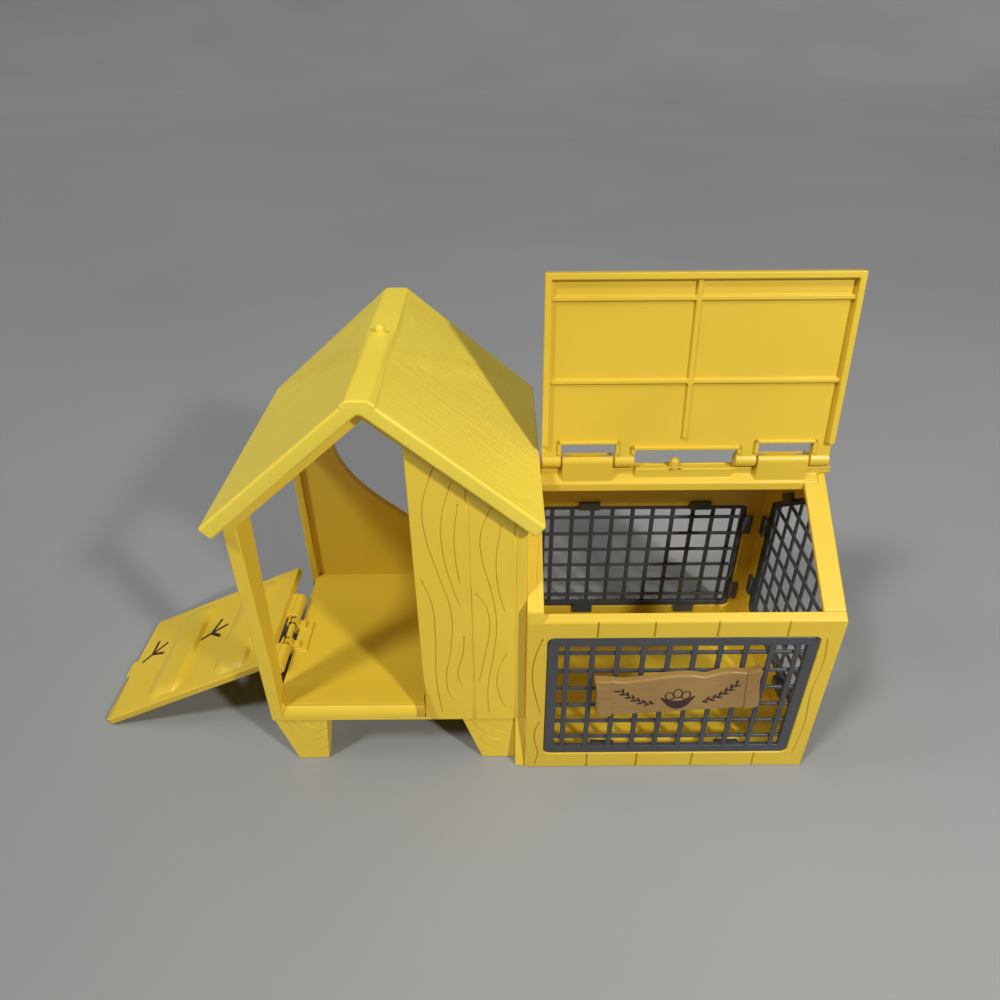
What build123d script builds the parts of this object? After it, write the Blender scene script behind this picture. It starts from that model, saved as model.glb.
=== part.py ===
from build123d import *
import math
import os

# Toy chicken coop in millimetres: a raised gabled house on the left and a low meshed
# run on the right, seen from the front along +Y, with +X to the right and +Z up.
# The origin is the middle of the run's underside, on the surface the coop stands on.

# Run, the low part with the meshed openings
run_width = 100.0
run_depth = 79.0
run_wall = 2.6
run_floor_thickness = 3.0
run_eave_height = 70.6
run_pitch = 37.0
run_beam_front = 2.7
run_beam_back = 2.0
run_beam_face = 2.9
run_flange_width = 4.6
run_flange_thickness = 2.4
ear_width = 5.2
ear_rise = 4.4
rail_width = 3.5
rail_foot_setback = 0.6
rail_back_setback = 1.0

# Roof plate and lid of the run
lid_skin = 1.6
lid_rim = 2.0
lid_length = 60.2
lid_right_inset = 0.4
lid_side_gap = 0.3
lid_seat_gap = 0.3
lid_lean = 8.5
lid_rib_width = 1.4
lid_rib_depth = 1.0
lid_rib_near = 27.2
lid_rib_far = 52.6
lid_rib_from_left = 45.8
rear_roof_rise = 4.9
rear_roof_skin = 2.4
rear_roof_overhang = 7.7
rear_roof_right_overhang = 1.5

# Hinge of the lid
lid_axis_rise = 5.2
lid_axis_back = 0.5
lid_barrel_radius = 2.3
lid_rod_radius = 1.3
hinge_running_gap = 0.06
hinge_end_gap = 0.5
lid_clip_inset = 6.8
lid_clip_length = 16.6
lid_clip_wall = 1.2
lid_clip_mouth = 2.1
lid_slot_length = 6.3
ledge_inset = 30.4
ledge_length = 33.0
ledge_slot_length = 4.2
ledge_depth = 3.0
ledge_drop = 2.5
ledge_peg_from_start = 13.5
ledge_peg_radius = 1.6
ledge_peg_height = 3.4

# Meshed grilles
grille_side_margin = 6.6
grille_bottom_margin = 7.5
grille_top_margin = 6.8
grille_border = 3.7
grille_thickness = 1.6
grille_recess = 0.2
grille_fit_gap = 0.15
grille_corner_radius = 2.2
grille_ledge = 1.5
grille_pitch = 8.2
upright_bar_width = 1.8
upright_bar_depth = 0.8
cross_bar_width = 1.4
cross_bar_depth = 1.0
bar_root = 0.4
hook_width = 8.5
hook_root = 1.0
hook_reach = 2.6
hook_thickness = 1.2
hook_gap = 0.1
hook_top_spread = 44.6
hook_side_spread = 35.0
side_grille_margin = 9.0
side_grille_bottom = 13.5
side_grille_drop = 7.5
side_hook_spread = 30.0

# Sign on the front grille
sign_width = 54.2
sign_height = 16.8
sign_thickness = 2.4
sign_cap_width = 5.1
sign_cap_step = 0.5
sign_tilt = 4.5
sign_center_x = 0.1
sign_center_z = 40.8
sign_gap = 0.3
sign_foot_width = 3.0
sign_foot_height = 8.0
sign_foot_pitches = 2
sign_top_wave = (16.6, 15.6, 15.9, 16.4, 17.0, 17.1, 16.9, 15.9, 17.1, 17.3, 16.5)
sign_left_cap_height = 17.3
sign_right_cap_height = 18.4
sign_corner_width = 1.3
sign_corner_height = 2.6

# House
house_width = 88.8
house_setback = 3.5
house_back_overhang = 1.0
house_wall = 3.0
house_underside = 22.1
house_floor_top = 28.0
house_floor_thickness = 2.6
floor_side_lip = 0.9
floor_lip_gap = 0.3
left_post_width = 4.2
front_panel_width = 34.4
rafter_drop = 5.4
house_foot_pad = 14.0

# Roof of the house
roof_thickness = 4.0
fascia_thickness = 5.0
roof_pitch = 40.6
eave_height = 108.2
left_overhang = 4.9
right_overhang = 5.15
front_overhang = 5.0
rear_overhang = 11.0
ridge_flat = 7.15
ridge_step = 0.5
ridge_step_from_front = 47.5
ridge_peg_radius = 1.6
ridge_peg_height = 3.0

# Heart opening in the back wall of the house
heart_half_width = 28.0
heart_tip_height = 55.9
heart_flank_height = 75.5
heart_shoulder_height = 96.0
heart_notch_height = 106.0
heart_lobe_top = 113.0

# Doorway and ramp
doorway_front_low = 9.0
doorway_front_high = 16.2
doorway_rear_margin = 5.0
ramp_side_gap = 0.3
ramp_thickness = 2.9
ramp_length = 76.3
ramp_start = 2.0
ramp_axis_inset = 0.5
ramp_axis_above_floor = 2.0
ramp_axis_below_plate = 2.05
ramp_ground_gap = 0.05
ramp_barrel_radius = 2.2
ramp_rod_radius = 1.2
ramp_clip_from_edge = 11.5
ramp_clip_span = 15.2
ramp_clip_finger = 3.2
ramp_clip_wall = 1.1
ramp_clip_mouth = 1.9
ramp_clip_pad = 5.0
ramp_clip_pad_thickness = 0.8
ramp_far_barrel = 12.8
cleat_width = 16.0
cleat_height = 1.7
cleat_margin = 2.8
cleat_end_slope = 3.0
cleat_crest = 2.4
cleat_first = 11.8
cleat_spacing = 30.9
tip_tab_width = 8.0
tip_tab_length = 2.2
tip_tab_thickness = 1.8
ramp_tip_radius = 2.0

# Legs
leg_top_width = 19.0
leg_bottom_width = 11.0
leg_inner_slant = 2.0
rail_leg_bottom_width = 12.0
leg_top_depth = 14.0
leg_bottom_depth = 4.0
leg_setback = 1.0

# Places worked out from the sizes above
run_left, run_right = -run_width / 2, run_width / 2
run_front, run_back = -run_depth / 2, run_depth / 2
run_slope = math.tan(math.radians(run_pitch))
run_ridge_height = run_eave_height + run_slope * run_depth / 2
lid_axis_height = run_ridge_height + lid_axis_rise
lid_axis_above_rim = (lid_axis_rise - run_slope * lid_axis_back) * math.cos(math.radians(run_pitch))
lid_left = run_left + ear_width + lid_side_gap
lid_right = run_right - lid_right_inset
rear_roof_right = run_right + rear_roof_right_overhang
house_right, house_left = run_left, run_left - house_width
house_front = run_front + house_setback
house_back = run_back + house_back_overhang
roof_slope = math.tan(math.radians(roof_pitch))
roof_left, roof_right = house_left - left_overhang, house_right + right_overhang
roof_front, roof_back = house_front - front_overhang, house_back + rear_overhang
roof_middle = (roof_left + roof_right) / 2
ridge_height = eave_height + roof_slope * ((roof_right - roof_left) - ridge_flat) / 2
ramp_front = house_front + doorway_front_high + ramp_side_gap
ramp_back = house_back - doorway_rear_margin - ramp_side_gap
ramp_axis_x = house_left - ramp_axis_inset
ramp_axis_z = house_floor_top + ramp_axis_above_floor
ramp_clip_front = ramp_front + ramp_clip_from_edge
ramp_clip_back = ramp_clip_front + ramp_clip_span


def block(x0, x1, y0, y1, z0, z1):
    return Pos((x0 + x1) / 2, (y0 + y1) / 2, (z0 + z1) / 2) * Box(x1 - x0, y1 - y0, z1 - z0)


def prism(points, run):
    outline = Wire.make_polygon([Vector(*point) for point in points], close=True)
    return Solid.extrude(Face(outline), Vector(*run))


def side_prism(points_yz, x0, x1):
    return prism([(x0, y, z) for y, z in points_yz], (x1 - x0, 0, 0))


def front_prism(points_xz, y0, y1):
    return prism([(x, y0, z) for x, z in points_xz], (0, y1 - y0, 0))


def rod_along_x(radius, x0, x1, y, z):
    return Pos((x0 + x1) / 2, y, z) * Rot(0, 90, 0) * Cylinder(radius, x1 - x0)


def rod_along_y(radius, y0, y1, x, z):
    return Pos(x, (y0 + y1) / 2, z) * Rot(90, 0, 0) * Cylinder(radius, y1 - y0)


def run_rim(y):
    """Height of the run's wall tops, which its roof plate and its lid lie on."""
    return run_ridge_height - run_slope * abs(y)


def roof_underside(x):
    """Height of the underside of the house's roof, which comes to a point under the flat ridge."""
    rise = roof_thickness / math.cos(math.radians(roof_pitch))
    return ridge_height - rise - roof_slope * (abs(x - roof_middle) - ridge_flat / 2)


def gable_outline(left, right, low, drop=0.0):
    """Outline in X and Z of something under the house's roof, clear of it by a drop."""
    top = [x for x in (right, roof_middle, left) if left <= x <= right]
    return [(left, low), (right, low)] + [(x, roof_underside(x) - drop) for x in top]


# Grilles and the walls they sit in, each drawn flat and then stood up

front_plane = Plane(origin=(0, run_front, 0), x_dir=(1, 0, 0), z_dir=(0, -1, 0))
back_plane = Plane(origin=(0, run_back, 0), x_dir=(-1, 0, 0), z_dir=(0, 1, 0))
right_plane = Plane(origin=(run_right, 0, 0), x_dir=(0, 1, 0), z_dir=(1, 0, 0))


def square_outline(inset):
    half = run_width / 2 - grille_side_margin - inset
    low = grille_bottom_margin + inset
    high = run_eave_height - grille_top_margin - inset
    return [(-half, low), (half, low), (half, high), (-half, high)]


def gable_end_outline(inset):
    half = run_depth / 2 - side_grille_margin - inset
    low = side_grille_bottom + inset
    drop = side_grille_drop + inset / math.cos(math.radians(run_pitch))
    top = [(half, run_rim(half) - drop), (0, run_rim(0) - drop), (-half, run_rim(half) - drop)]
    return [(-half, low), (half, low)] + top


def slab(outline, low, high, radius=0.0):
    """Flat plate between two depths, outward being positive, with rounded corners."""
    face = Polygon(*outline, align=None)
    if radius:
        face = fillet(face.vertices(), radius)
    return extrude(Pos(0, 0, low) * face, high - low)


def grille_cutter(outline_of):
    """Opening and stepped seat for a grille, for a wall whose outer face is at 0."""
    seat = slab(outline_of(0), -grille_thickness - grille_recess, 1, grille_corner_radius)
    return seat + slab(outline_of(grille_ledge), -2 * run_wall, 1, grille_corner_radius)


def hook(u, v, turn):
    """Snap hook that holds a grille against the inner face of its wall."""
    inner = -run_wall - hook_gap
    half, tip = hook_width / 2, inner - hook_thickness
    root = block(-half, half, -hook_root, 0, tip, -grille_recess - 1)
    lip = block(-half, half, -hook_root, hook_reach, tip, inner)
    return Pos(u, v, 0) * Rot(0, 0, turn) * (root + lip)


def bar_places(low, high):
    """Middles of evenly pitched bars between two limits."""
    count = round((high - low) / grille_pitch)
    return [(low + high) / 2 + (i - (count - 1) / 2) * grille_pitch for i in range(count)]


def grille(outline_of, hooks):
    low, high = -grille_thickness - grille_recess, -grille_recess
    frame = slab(outline_of(grille_fit_gap), low, high, grille_corner_radius)
    window = outline_of(grille_border)
    frame -= slab(window, low - 1, high + 1, grille_corner_radius / 2)
    reach = slab(outline_of(grille_border - bar_root), low - 1, high, grille_corner_radius / 2)
    us, vs = [u for u, v in window], [v for u, v in window]
    middle = high - upright_bar_depth
    bars = []
    for u in bar_places(min(us), max(us)):
        half = upright_bar_width / 2
        bars.append(block(u - half, u + half, min(vs) - 1, max(vs) + 1, middle, high))
    for v in bar_places(min(vs), max(vs)):
        half = cross_bar_width / 2
        bars.append(block(min(us) - 1, max(us) + 1, v - half, v + half, middle - cross_bar_depth, middle))
    mesh = (bars[0] + bars[1:]) & reach
    return frame + mesh + hooks


def square_hooks():
    (left, low), _, (right, high), _ = square_outline(grille_ledge + grille_fit_gap)
    middle = (low + high) / 2
    hooks = []
    for side in (-1, 1):
        hooks.append(hook(side * hook_top_spread / 2, high, 0))
        hooks.append(hook(side * hook_top_spread / 2, low, 180))
        hooks.append(hook(left, middle + side * hook_side_spread / 2, 90))
        hooks.append(hook(right, middle + side * hook_side_spread / 2, -90))
    return hooks


def gable_end_hooks():
    outline = gable_end_outline(grille_ledge + grille_fit_gap)
    (left, low), (right, _), (_, eave), (_, peak), _ = outline
    middle = (low + eave) / 2
    hooks = []
    for side in (-1, 1):
        hooks.append(hook(side * side_hook_spread / 2, low, 180))
        hooks.append(hook(side * right / 2, (eave + peak) / 2, -side * run_pitch))
        hooks.append(hook(left, middle + side * side_hook_spread / 2, 90))
        hooks.append(hook(right, middle + side * side_hook_spread / 2, -90))
    return hooks


def run_long_wall(side):
    """Front or back wall of the run, its top edge bevelled to the slope of the roof."""
    outer = side * run_depth / 2
    inner = outer - side * run_wall
    outline = [(outer, 0), (inner, 0), (inner, run_rim(inner)), (outer, run_rim(outer))]
    return side_prism(outline, run_left, run_right)


def run_front_wall():
    return run_long_wall(-1) - front_plane * grille_cutter(square_outline)


def run_back_wall():
    return run_long_wall(1) - back_plane * grille_cutter(square_outline)


def gable_end(x0, x1):
    """End wall between the run's front and back walls."""
    front, back = run_front + run_wall, run_back - run_wall
    top = [(back, run_rim(back)), (0, run_rim(0)), (front, run_rim(front))]
    return side_prism([(front, 0), (back, 0)] + top, x0, x1)


def rim_strip(front, back, low, high, x0, x1):
    """Strip along one slope of the run's rim, between two heights measured from it."""
    outline = [(front, run_rim(front) + low), (back, run_rim(back) + low)]
    outline += [(back, run_rim(back) + high), (front, run_rim(front) + high)]
    return side_prism(outline, x0, x1)


def run_right_wall():
    inner = run_right - run_wall
    wall = gable_end(inner, run_right) - right_plane * grille_cutter(gable_end_outline)
    front, back = run_front + run_wall, -run_beam_front
    return wall + rim_strip(front, back, -run_flange_thickness, 0, inner - run_flange_width, inner)


def run_left_wall():
    """End wall with the raised band beside the roof and the rail under the house, whose front
    comes forward on the way down."""
    wall = gable_end(run_left, run_left + run_wall)
    for front, back in ((run_front, 0), (0, run_back)):
        wall += rim_strip(front, back, 0, ear_rise, run_left, run_left + ear_width)
    rail_back = run_back - rail_back_setback
    rail = [(run_front + rail_foot_setback, 0), (rail_back, 0)]
    rail += [(rail_back, house_underside), (house_front, house_underside)]
    return wall + side_prism(rail, run_left - rail_width, run_left)


def run_floor():
    left, right = run_left + run_wall, run_right - run_wall
    return block(left, right, run_front + run_wall, run_back - run_wall, 0, run_floor_thickness)


def lid_clip_spans():
    first = lid_left + lid_clip_inset
    last = lid_right - lid_clip_inset - lid_clip_length
    return [(first, first + lid_clip_length), (last, last + lid_clip_length)]


def ledge_span():
    start = lid_left + ledge_inset
    return start, start + ledge_length


def clip_block(x0, x1):
    """Open-topped clip that grips a rod of the lid's hinge."""
    y, z = lid_axis_back, lid_axis_height
    half, mouth = lid_rod_radius + lid_clip_wall, lid_clip_mouth / 2
    body = block(x0, x1, y - half, y + half, run_rim(y - half), z)
    body += rod_along_x(half, x0, x1, y, z)
    body -= rod_along_x(lid_rod_radius + hinge_running_gap, x0 - 1, x1 + 1, y, z)
    return body - block(x0 - 1, x1 + 1, y - mouth, y + mouth, z, z + 2 * half)


def ridge_beam():
    front, back = -run_beam_front, run_beam_back
    low = run_rim(front) - run_beam_face
    outline = [(front, low), (back, low), (back, run_rim(back)), (0, run_rim(0)), (front, run_rim(front))]
    return side_prism(outline, run_left + run_wall, run_right - run_wall)


def ledge():
    """Ledge with a peg on the ridge, in the middle gap of the lid's hinge."""
    x0, x1 = ledge_span()
    top = lid_axis_height - ledge_drop
    front, back = lid_axis_back - ledge_depth / 2, lid_axis_back + ledge_depth / 2
    body = block(x0 + hinge_end_gap, x1 - hinge_end_gap, front, back, run_rim(front), top)
    peg = Cylinder(ledge_peg_radius, ledge_peg_height, align=(Align.CENTER, Align.CENTER, Align.MIN))
    return body + Pos(x0 + ledge_peg_from_start, lid_axis_back, top) * peg


def run_rear_roof():
    """Fixed plate on the rear slope, with the ridge beam, the hinge clips and the ledge."""
    left, right = lid_left, rear_roof_right
    back = run_back + rear_roof_overhang
    plate = rim_strip(0, back, 0, rear_roof_rise, left, right)
    under = rear_roof_rise - rear_roof_skin / math.cos(math.radians(run_pitch))
    hollow_front, hollow_back = run_back + lid_seat_gap, back - lid_rim
    plate -= rim_strip(hollow_front, hollow_back, -1, under, left + lid_rim, right - lid_rim)
    y, z, room = lid_axis_back, lid_axis_height, lid_barrel_radius + hinge_end_gap
    plate -= rod_along_x(room, left - 1, right + 1, y, z)
    plate -= block(left - 1, right + 1, -1, y + room / 2, z - room, z + 1)
    plate += ridge_beam()
    for x0, x1 in lid_clip_spans():
        plate += clip_block(x0, x1)
    return plate + ledge()


def lid_barrel_spans():
    """Stretches of the lid's near edge between the clips and the ledge, which carry barrels."""
    first, last = lid_clip_spans()
    middle = ledge_span()
    return [
        (lid_left, first[0] - hinge_end_gap),
        (first[1] + hinge_end_gap, middle[0]),
        (middle[1], last[0] - hinge_end_gap),
        (last[1] + hinge_end_gap, lid_right),
    ]


def run_lid():
    """Lid drawn standing up from its hinge axis, its open side to the front, then leaned back."""
    depth = lid_axis_above_rim - lid_seat_gap
    left, right = lid_left + lid_rim, lid_right - lid_rim
    body = block(lid_left, lid_right, -depth, 0, lid_slot_length, lid_length)
    body -= block(left, right, -depth - 1, -lid_skin, 0, lid_length - lid_rim)
    rib_face, half = -lid_skin - lid_rib_depth, lid_rib_width / 2
    for s in (lid_rib_near, lid_rib_far):
        body += block(left, right, rib_face, -lid_skin, s - half, s + half)
    rib, near = lid_left + lid_rib_from_left, lid_slot_length + lid_rim
    body += block(rib - half, rib + half, rib_face, -lid_skin, near, lid_length - lid_rim)
    for x0, x1 in lid_barrel_spans():
        body += rod_along_x(lid_barrel_radius, x0, x1, 0, 0)
        body += block(x0, x1, -lid_skin, 0, 0, lid_slot_length)
    body += block(*ledge_span(), -lid_skin, 0, ledge_slot_length, lid_slot_length)
    for x0, x1 in lid_clip_spans():
        body += rod_along_x(lid_rod_radius, x0 - 2 * hinge_end_gap, x1 + 2 * hinge_end_gap, 0, 0)
    return Pos(0, lid_axis_back, lid_axis_height) * Rot(-lid_lean, 0, 0) * body


def sign_outlines():
    """Wavy middle board and the two end caps, measured from the middle of the lower edge."""
    half = sign_width / 2
    inner = half - sign_cap_width
    step = 2 * inner / (len(sign_top_wave) - 1)
    top = Spline(*[(-inner + i * step, rise) for i, rise in enumerate(sign_top_wave)])
    sides = Polyline(top @ 1, (inner, 0), (-inner, 0), top @ 0)
    left_cap = [(sign_corner_width - half, 0), (-inner, 0), (-inner, sign_top_wave[0])]
    left_cap += [(-half, sign_left_cap_height), (-half, sign_corner_height)]
    right_cap = [(inner, 0), (half, 0), (half, sign_right_cap_height - sign_corner_width)]
    right_cap += [(half - sign_corner_width, sign_right_cap_height), (inner, sign_top_wave[-1])]
    return make_face([top, sides]), [Polygon(*cap, align=None) for cap in (left_cap, right_cap)]


def sign_board():
    """Tilted board with a thicker cap at each end, on two feet against upright bars."""
    middle, caps = sign_outlines()
    board = extrude(middle, sign_thickness)
    for cap in caps:
        board += extrude(cap, sign_thickness + sign_cap_step)
    board = Pos(0, 0, sign_gap) * Rot(0, 0, sign_tilt) * Pos(0, -sign_height / 2, 0) * board
    half_foot = sign_foot_width / 2
    for side in (-1, 1):
        bar_u = side * (sign_foot_pitches + 0.5) * grille_pitch
        low = math.tan(math.radians(sign_tilt)) * bar_u - sign_foot_height / 2
        u = bar_u - sign_center_x
        high = low + sign_foot_height
        board += block(u - half_foot, u + half_foot, low, high, -grille_recess, sign_gap + 1)
    return front_plane * Pos(sign_center_x, sign_center_z, 0) * board


def doorway_jamb(z):
    """Front edge of the side doorway, which slants back on the way up."""
    share = (z - house_underside) / (roof_underside(house_left) - house_underside)
    return house_front + doorway_front_low + share * (doorway_front_high - doorway_front_low)


def house_floor():
    left, right = house_left + house_wall, house_right - house_wall
    front, back = house_front + house_wall, house_back - house_wall
    low = house_floor_top - house_floor_thickness
    floor = block(left, right, front, back, low, house_floor_top)
    edge = left - floor_side_lip
    lip_front = doorway_jamb(house_floor_top) + floor_lip_gap
    lip_back = house_back - doorway_rear_margin - floor_lip_gap
    floor += block(edge, left, lip_front, lip_back, low, house_floor_top)
    pad = leg_top_width - house_wall
    for x0 in (left, right - rail_width - pad):
        for y0 in (front, back - house_foot_pad):
            floor += block(x0, x0 + pad, y0, y0 + house_foot_pad, house_underside, house_floor_top)
    return floor + ramp_clip(edge)


def ramp_clip(edge):
    """Pad on the floor with two fingers that grip the ramp's rod."""
    x, z, top = ramp_axis_x, ramp_axis_z, house_floor_top
    pad_top = top + ramp_clip_pad_thickness
    clip = block(edge, edge + ramp_clip_pad, ramp_clip_front, ramp_clip_back, top - 1, pad_top)
    half, mouth = ramp_rod_radius + ramp_clip_wall, ramp_clip_mouth / 2
    first = ramp_clip_front + hinge_end_gap
    last = ramp_clip_back - hinge_end_gap - ramp_clip_finger
    for y0 in (first, last):
        y1 = y0 + ramp_clip_finger
        finger = rod_along_y(half, y0, y1, x, z)
        finger += block(x, edge + half, y0, y1, z - half, z)
        finger += block(x, edge + 1, y0, y1, top - house_floor_thickness, z)
        finger -= rod_along_y(ramp_rod_radius + hinge_running_gap, y0 - 1, y1 + 1, x, z)
        clip += finger - block(x - mouth, x + mouth, y0 - 1, y1 + 1, z, z + 2 * half)
    return clip


def house_front_wall():
    front, back = house_front, house_front + house_wall
    wall = front_prism(gable_outline(house_left, house_right, house_underside), front, back)
    left, right = house_left + left_post_width, house_right - front_panel_width
    opening = gable_outline(left, right, house_floor_top, rafter_drop)
    return wall - front_prism(opening, front - 1, back + 1)


def heart_face():
    """Heart drawn as arcs and curved flanks, in X and Z about the gable's middle."""
    w = heart_half_width
    tip, notch = (0, heart_tip_height), (0, heart_notch_height)
    shoulder, crown = (w, heart_shoulder_height), (w / 2, heart_lobe_top)
    flank = Spline(tip, (0.75 * w, heart_flank_height), shoulder, tangents=((1, 0.8), (0, 1)))
    lobe = ThreePointArc(shoulder, (0.86 * w, 0.4 * shoulder[1] + 0.6 * crown[1]), crown)
    dip = ThreePointArc(crown, (0.2 * w, 0.25 * notch[1] + 0.75 * crown[1]), notch)
    half = [flank, lobe, dip]
    return make_face(half + [mirror(edge, about=Plane.YZ) for edge in half])


def house_back_wall():
    """Gable wall with the heart opening, and the rear jamb of the side doorway."""
    front, back = house_back - house_wall, house_back
    wall = front_prism(gable_outline(house_left, house_right, house_underside), front, back)
    plane = Plane(origin=(roof_middle, back + 1, 0), x_dir=(1, 0, 0), z_dir=(0, -1, 0))
    wall -= extrude(plane * heart_face(), house_wall + 2)
    jamb = gable_outline(house_left, house_left + house_wall, house_underside)
    return wall + front_prism(jamb, house_back - doorway_rear_margin, front)


def house_right_wall():
    front, back = house_front + house_wall, house_back - house_wall
    left = house_right - house_wall
    outline = gable_outline(left, house_right, house_underside)
    return front_prism(outline, front, back)


def house_left_wall():
    """Board between the front wall and the side doorway."""
    front, low = house_front + house_wall, house_underside
    right, high = house_left + house_wall, roof_underside(house_left + house_wall)
    board = front_prism(gable_outline(house_left, right, low), front, house_front + 2 * doorway_front_high)
    doorway = [(doorway_jamb(low), low), (house_back, low), (house_back, high), (doorway_jamb(high), high)]
    return board - side_prism(doorway, house_left - 1, right + 1)


def roof_outline(thickness):
    """Outline in X and Z of a roof with a flat ridge, pointed underneath."""
    lean = math.radians(roof_pitch)
    inward, downward = thickness * math.sin(lean), thickness * math.cos(lean)
    under_ridge = ridge_height - thickness / math.cos(lean) + roof_slope * ridge_flat / 2
    return [
        (roof_left, eave_height),
        (roof_middle - ridge_flat / 2, ridge_height),
        (roof_middle + ridge_flat / 2, ridge_height),
        (roof_right, eave_height),
        (roof_right - inward, eave_height - downward),
        (roof_middle, under_ridge),
        (roof_left + inward, eave_height - downward),
    ]


def house_roof():
    """Roof slab with a deeper fascia over its front, and a step with a peg on its ridge."""
    roof = front_prism(roof_outline(roof_thickness), roof_front, roof_back)
    roof += front_prism(roof_outline(fascia_thickness), roof_front, house_front)
    step_end = roof_front + ridge_step_from_front
    flat_left, flat_right = roof_middle - ridge_flat / 2, roof_middle + ridge_flat / 2
    cap_low, cap_top = ridge_height - 1, ridge_height + ridge_step
    cap_inset = ridge_step / roof_slope
    cap = [(flat_left, cap_low), (flat_right, cap_low), (flat_right, ridge_height)]
    cap += [(flat_right - cap_inset, cap_top), (flat_left + cap_inset, cap_top), (flat_left, ridge_height)]
    roof += front_prism(cap, roof_front, step_end)
    peg = Pos(roof_middle, step_end, ridge_height) * Cylinder(
        ridge_peg_radius, ridge_peg_height, align=(Align.CENTER, Align.CENTER, Align.MIN)
    )
    return roof + peg


def leg(top, foot, face, depth_side):
    """Leg from the left and right of its top and of its foot, its back slanting in on the way down."""
    def ring(sides, depth, z):
        (x0, x1), back = sides, face + depth_side * depth
        return Wire.make_polygon([(x0, face, z), (x1, face, z), (x1, back, z), (x0, back, z)], close=True)

    return Solid.make_loft([ring(foot, leg_bottom_depth, 0), ring(top, leg_top_depth, house_underside)], ruled=True)


def legs():
    """The left legs slant on both sides. The right ones stand straight against the rail."""
    front, back = house_front + leg_setback, house_back - leg_setback
    left_inner, right_inner = house_left + leg_top_width, house_right - rail_width
    left_top, right_top = (house_left, left_inner), (right_inner - leg_top_width, right_inner)
    low_inner = left_inner - leg_inner_slant
    left_foot = (low_inner - leg_bottom_width, low_inner)
    right_foot = (right_inner - rail_leg_bottom_width, right_inner)
    return {
        "leg_front_left": leg(left_top, left_foot, front, 1),
        "leg_front_right": leg(right_top, right_foot, front, 1),
        "leg_rear_left": leg(left_top, left_foot, back, -1),
        "leg_rear_right": leg(right_top, right_foot, back, -1),
    }


def ramp_slope():
    """Slope at which the ramp's tip just stands on the ground."""
    fall = ramp_axis_z - ramp_ground_gap
    reach = math.hypot(ramp_length, ramp_axis_below_plate)
    return math.degrees(math.asin(fall / reach) + math.atan2(ramp_axis_below_plate, ramp_length))


def cleat(start):
    """Wedge across the ramp, steep on its uphill side, with slanting ends."""
    low = ramp_axis_below_plate + ramp_thickness
    high = low + cleat_height
    front, back = ramp_front + cleat_margin, ramp_back - cleat_margin
    crest, toe = start + cleat_crest, start + cleat_width
    root = low - 1
    profile = [(-start, root), (-start, high), (-crest, high), (-toe, low), (-toe, root)]
    ends = [(front, root), (front, low), (front + cleat_end_slope, high)]
    ends += [(back - cleat_end_slope, high), (back, low), (back, root)]
    return front_prism(profile, front, back) & side_prism(ends, -toe, -start)


def ramp():
    """Ramp drawn level, running away from its axis along -X, then lowered to the ground."""
    low = ramp_axis_below_plate
    high = low + ramp_thickness
    body = block(-ramp_length, -ramp_start, ramp_front, ramp_back, low, high)
    body = fillet(body.edges().filter_by(Axis.Z).group_by(Axis.X)[0], ramp_tip_radius)
    for i in range(2):
        body += cleat(cleat_first + i * cleat_spacing)
    middle = (ramp_front + ramp_back) / 2
    half = tip_tab_width / 2
    tab_end = -ramp_length - tip_tab_length
    body += block(tab_end, -ramp_length + 1, middle - half, middle + half, high - tip_tab_thickness, high)
    for y0, y1 in ((ramp_front, ramp_clip_front), (ramp_clip_back, ramp_clip_back + ramp_far_barrel)):
        body += rod_along_y(ramp_barrel_radius, y0, y1, 0, 0)
        body += block(-2 * ramp_barrel_radius, 0, y0, y1, 0, low + 1)
    body += rod_along_y(ramp_rod_radius, ramp_clip_front - 1, ramp_clip_back + 1, 0, 0)
    return Pos(ramp_axis_x, 0, ramp_axis_z) * Rot(0, -ramp_slope(), 0) * body


def main():
    os.makedirs("parts", exist_ok=True)
    parts = {
        "run_floor": run_floor(),
        "run_front_wall": run_front_wall(),
        "run_back_wall": run_back_wall(),
        "run_left_wall": run_left_wall(),
        "run_right_wall": run_right_wall(),
        "run_rear_roof": run_rear_roof(),
        "run_lid": run_lid(),
        "front_grille": front_plane * grille(square_outline, square_hooks()),
        "rear_grille": back_plane * grille(square_outline, square_hooks()),
        "side_grille": right_plane * grille(gable_end_outline, gable_end_hooks()),
        "sign_board": sign_board(),
        "house_floor": house_floor(),
        "house_front_wall": house_front_wall(),
        "house_back_wall": house_back_wall(),
        "house_left_wall": house_left_wall(),
        "house_right_wall": house_right_wall(),
        "house_roof": house_roof(),
        "ramp": ramp(),
    }
    parts.update(legs())
    for name, shape in parts.items():
        export_step(shape, f"parts/{name}.step")


main()
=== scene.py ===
import bmesh
import bpy
from math import cos, pi, radians, sin, tan
from mathutils import Matrix, Vector


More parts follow.
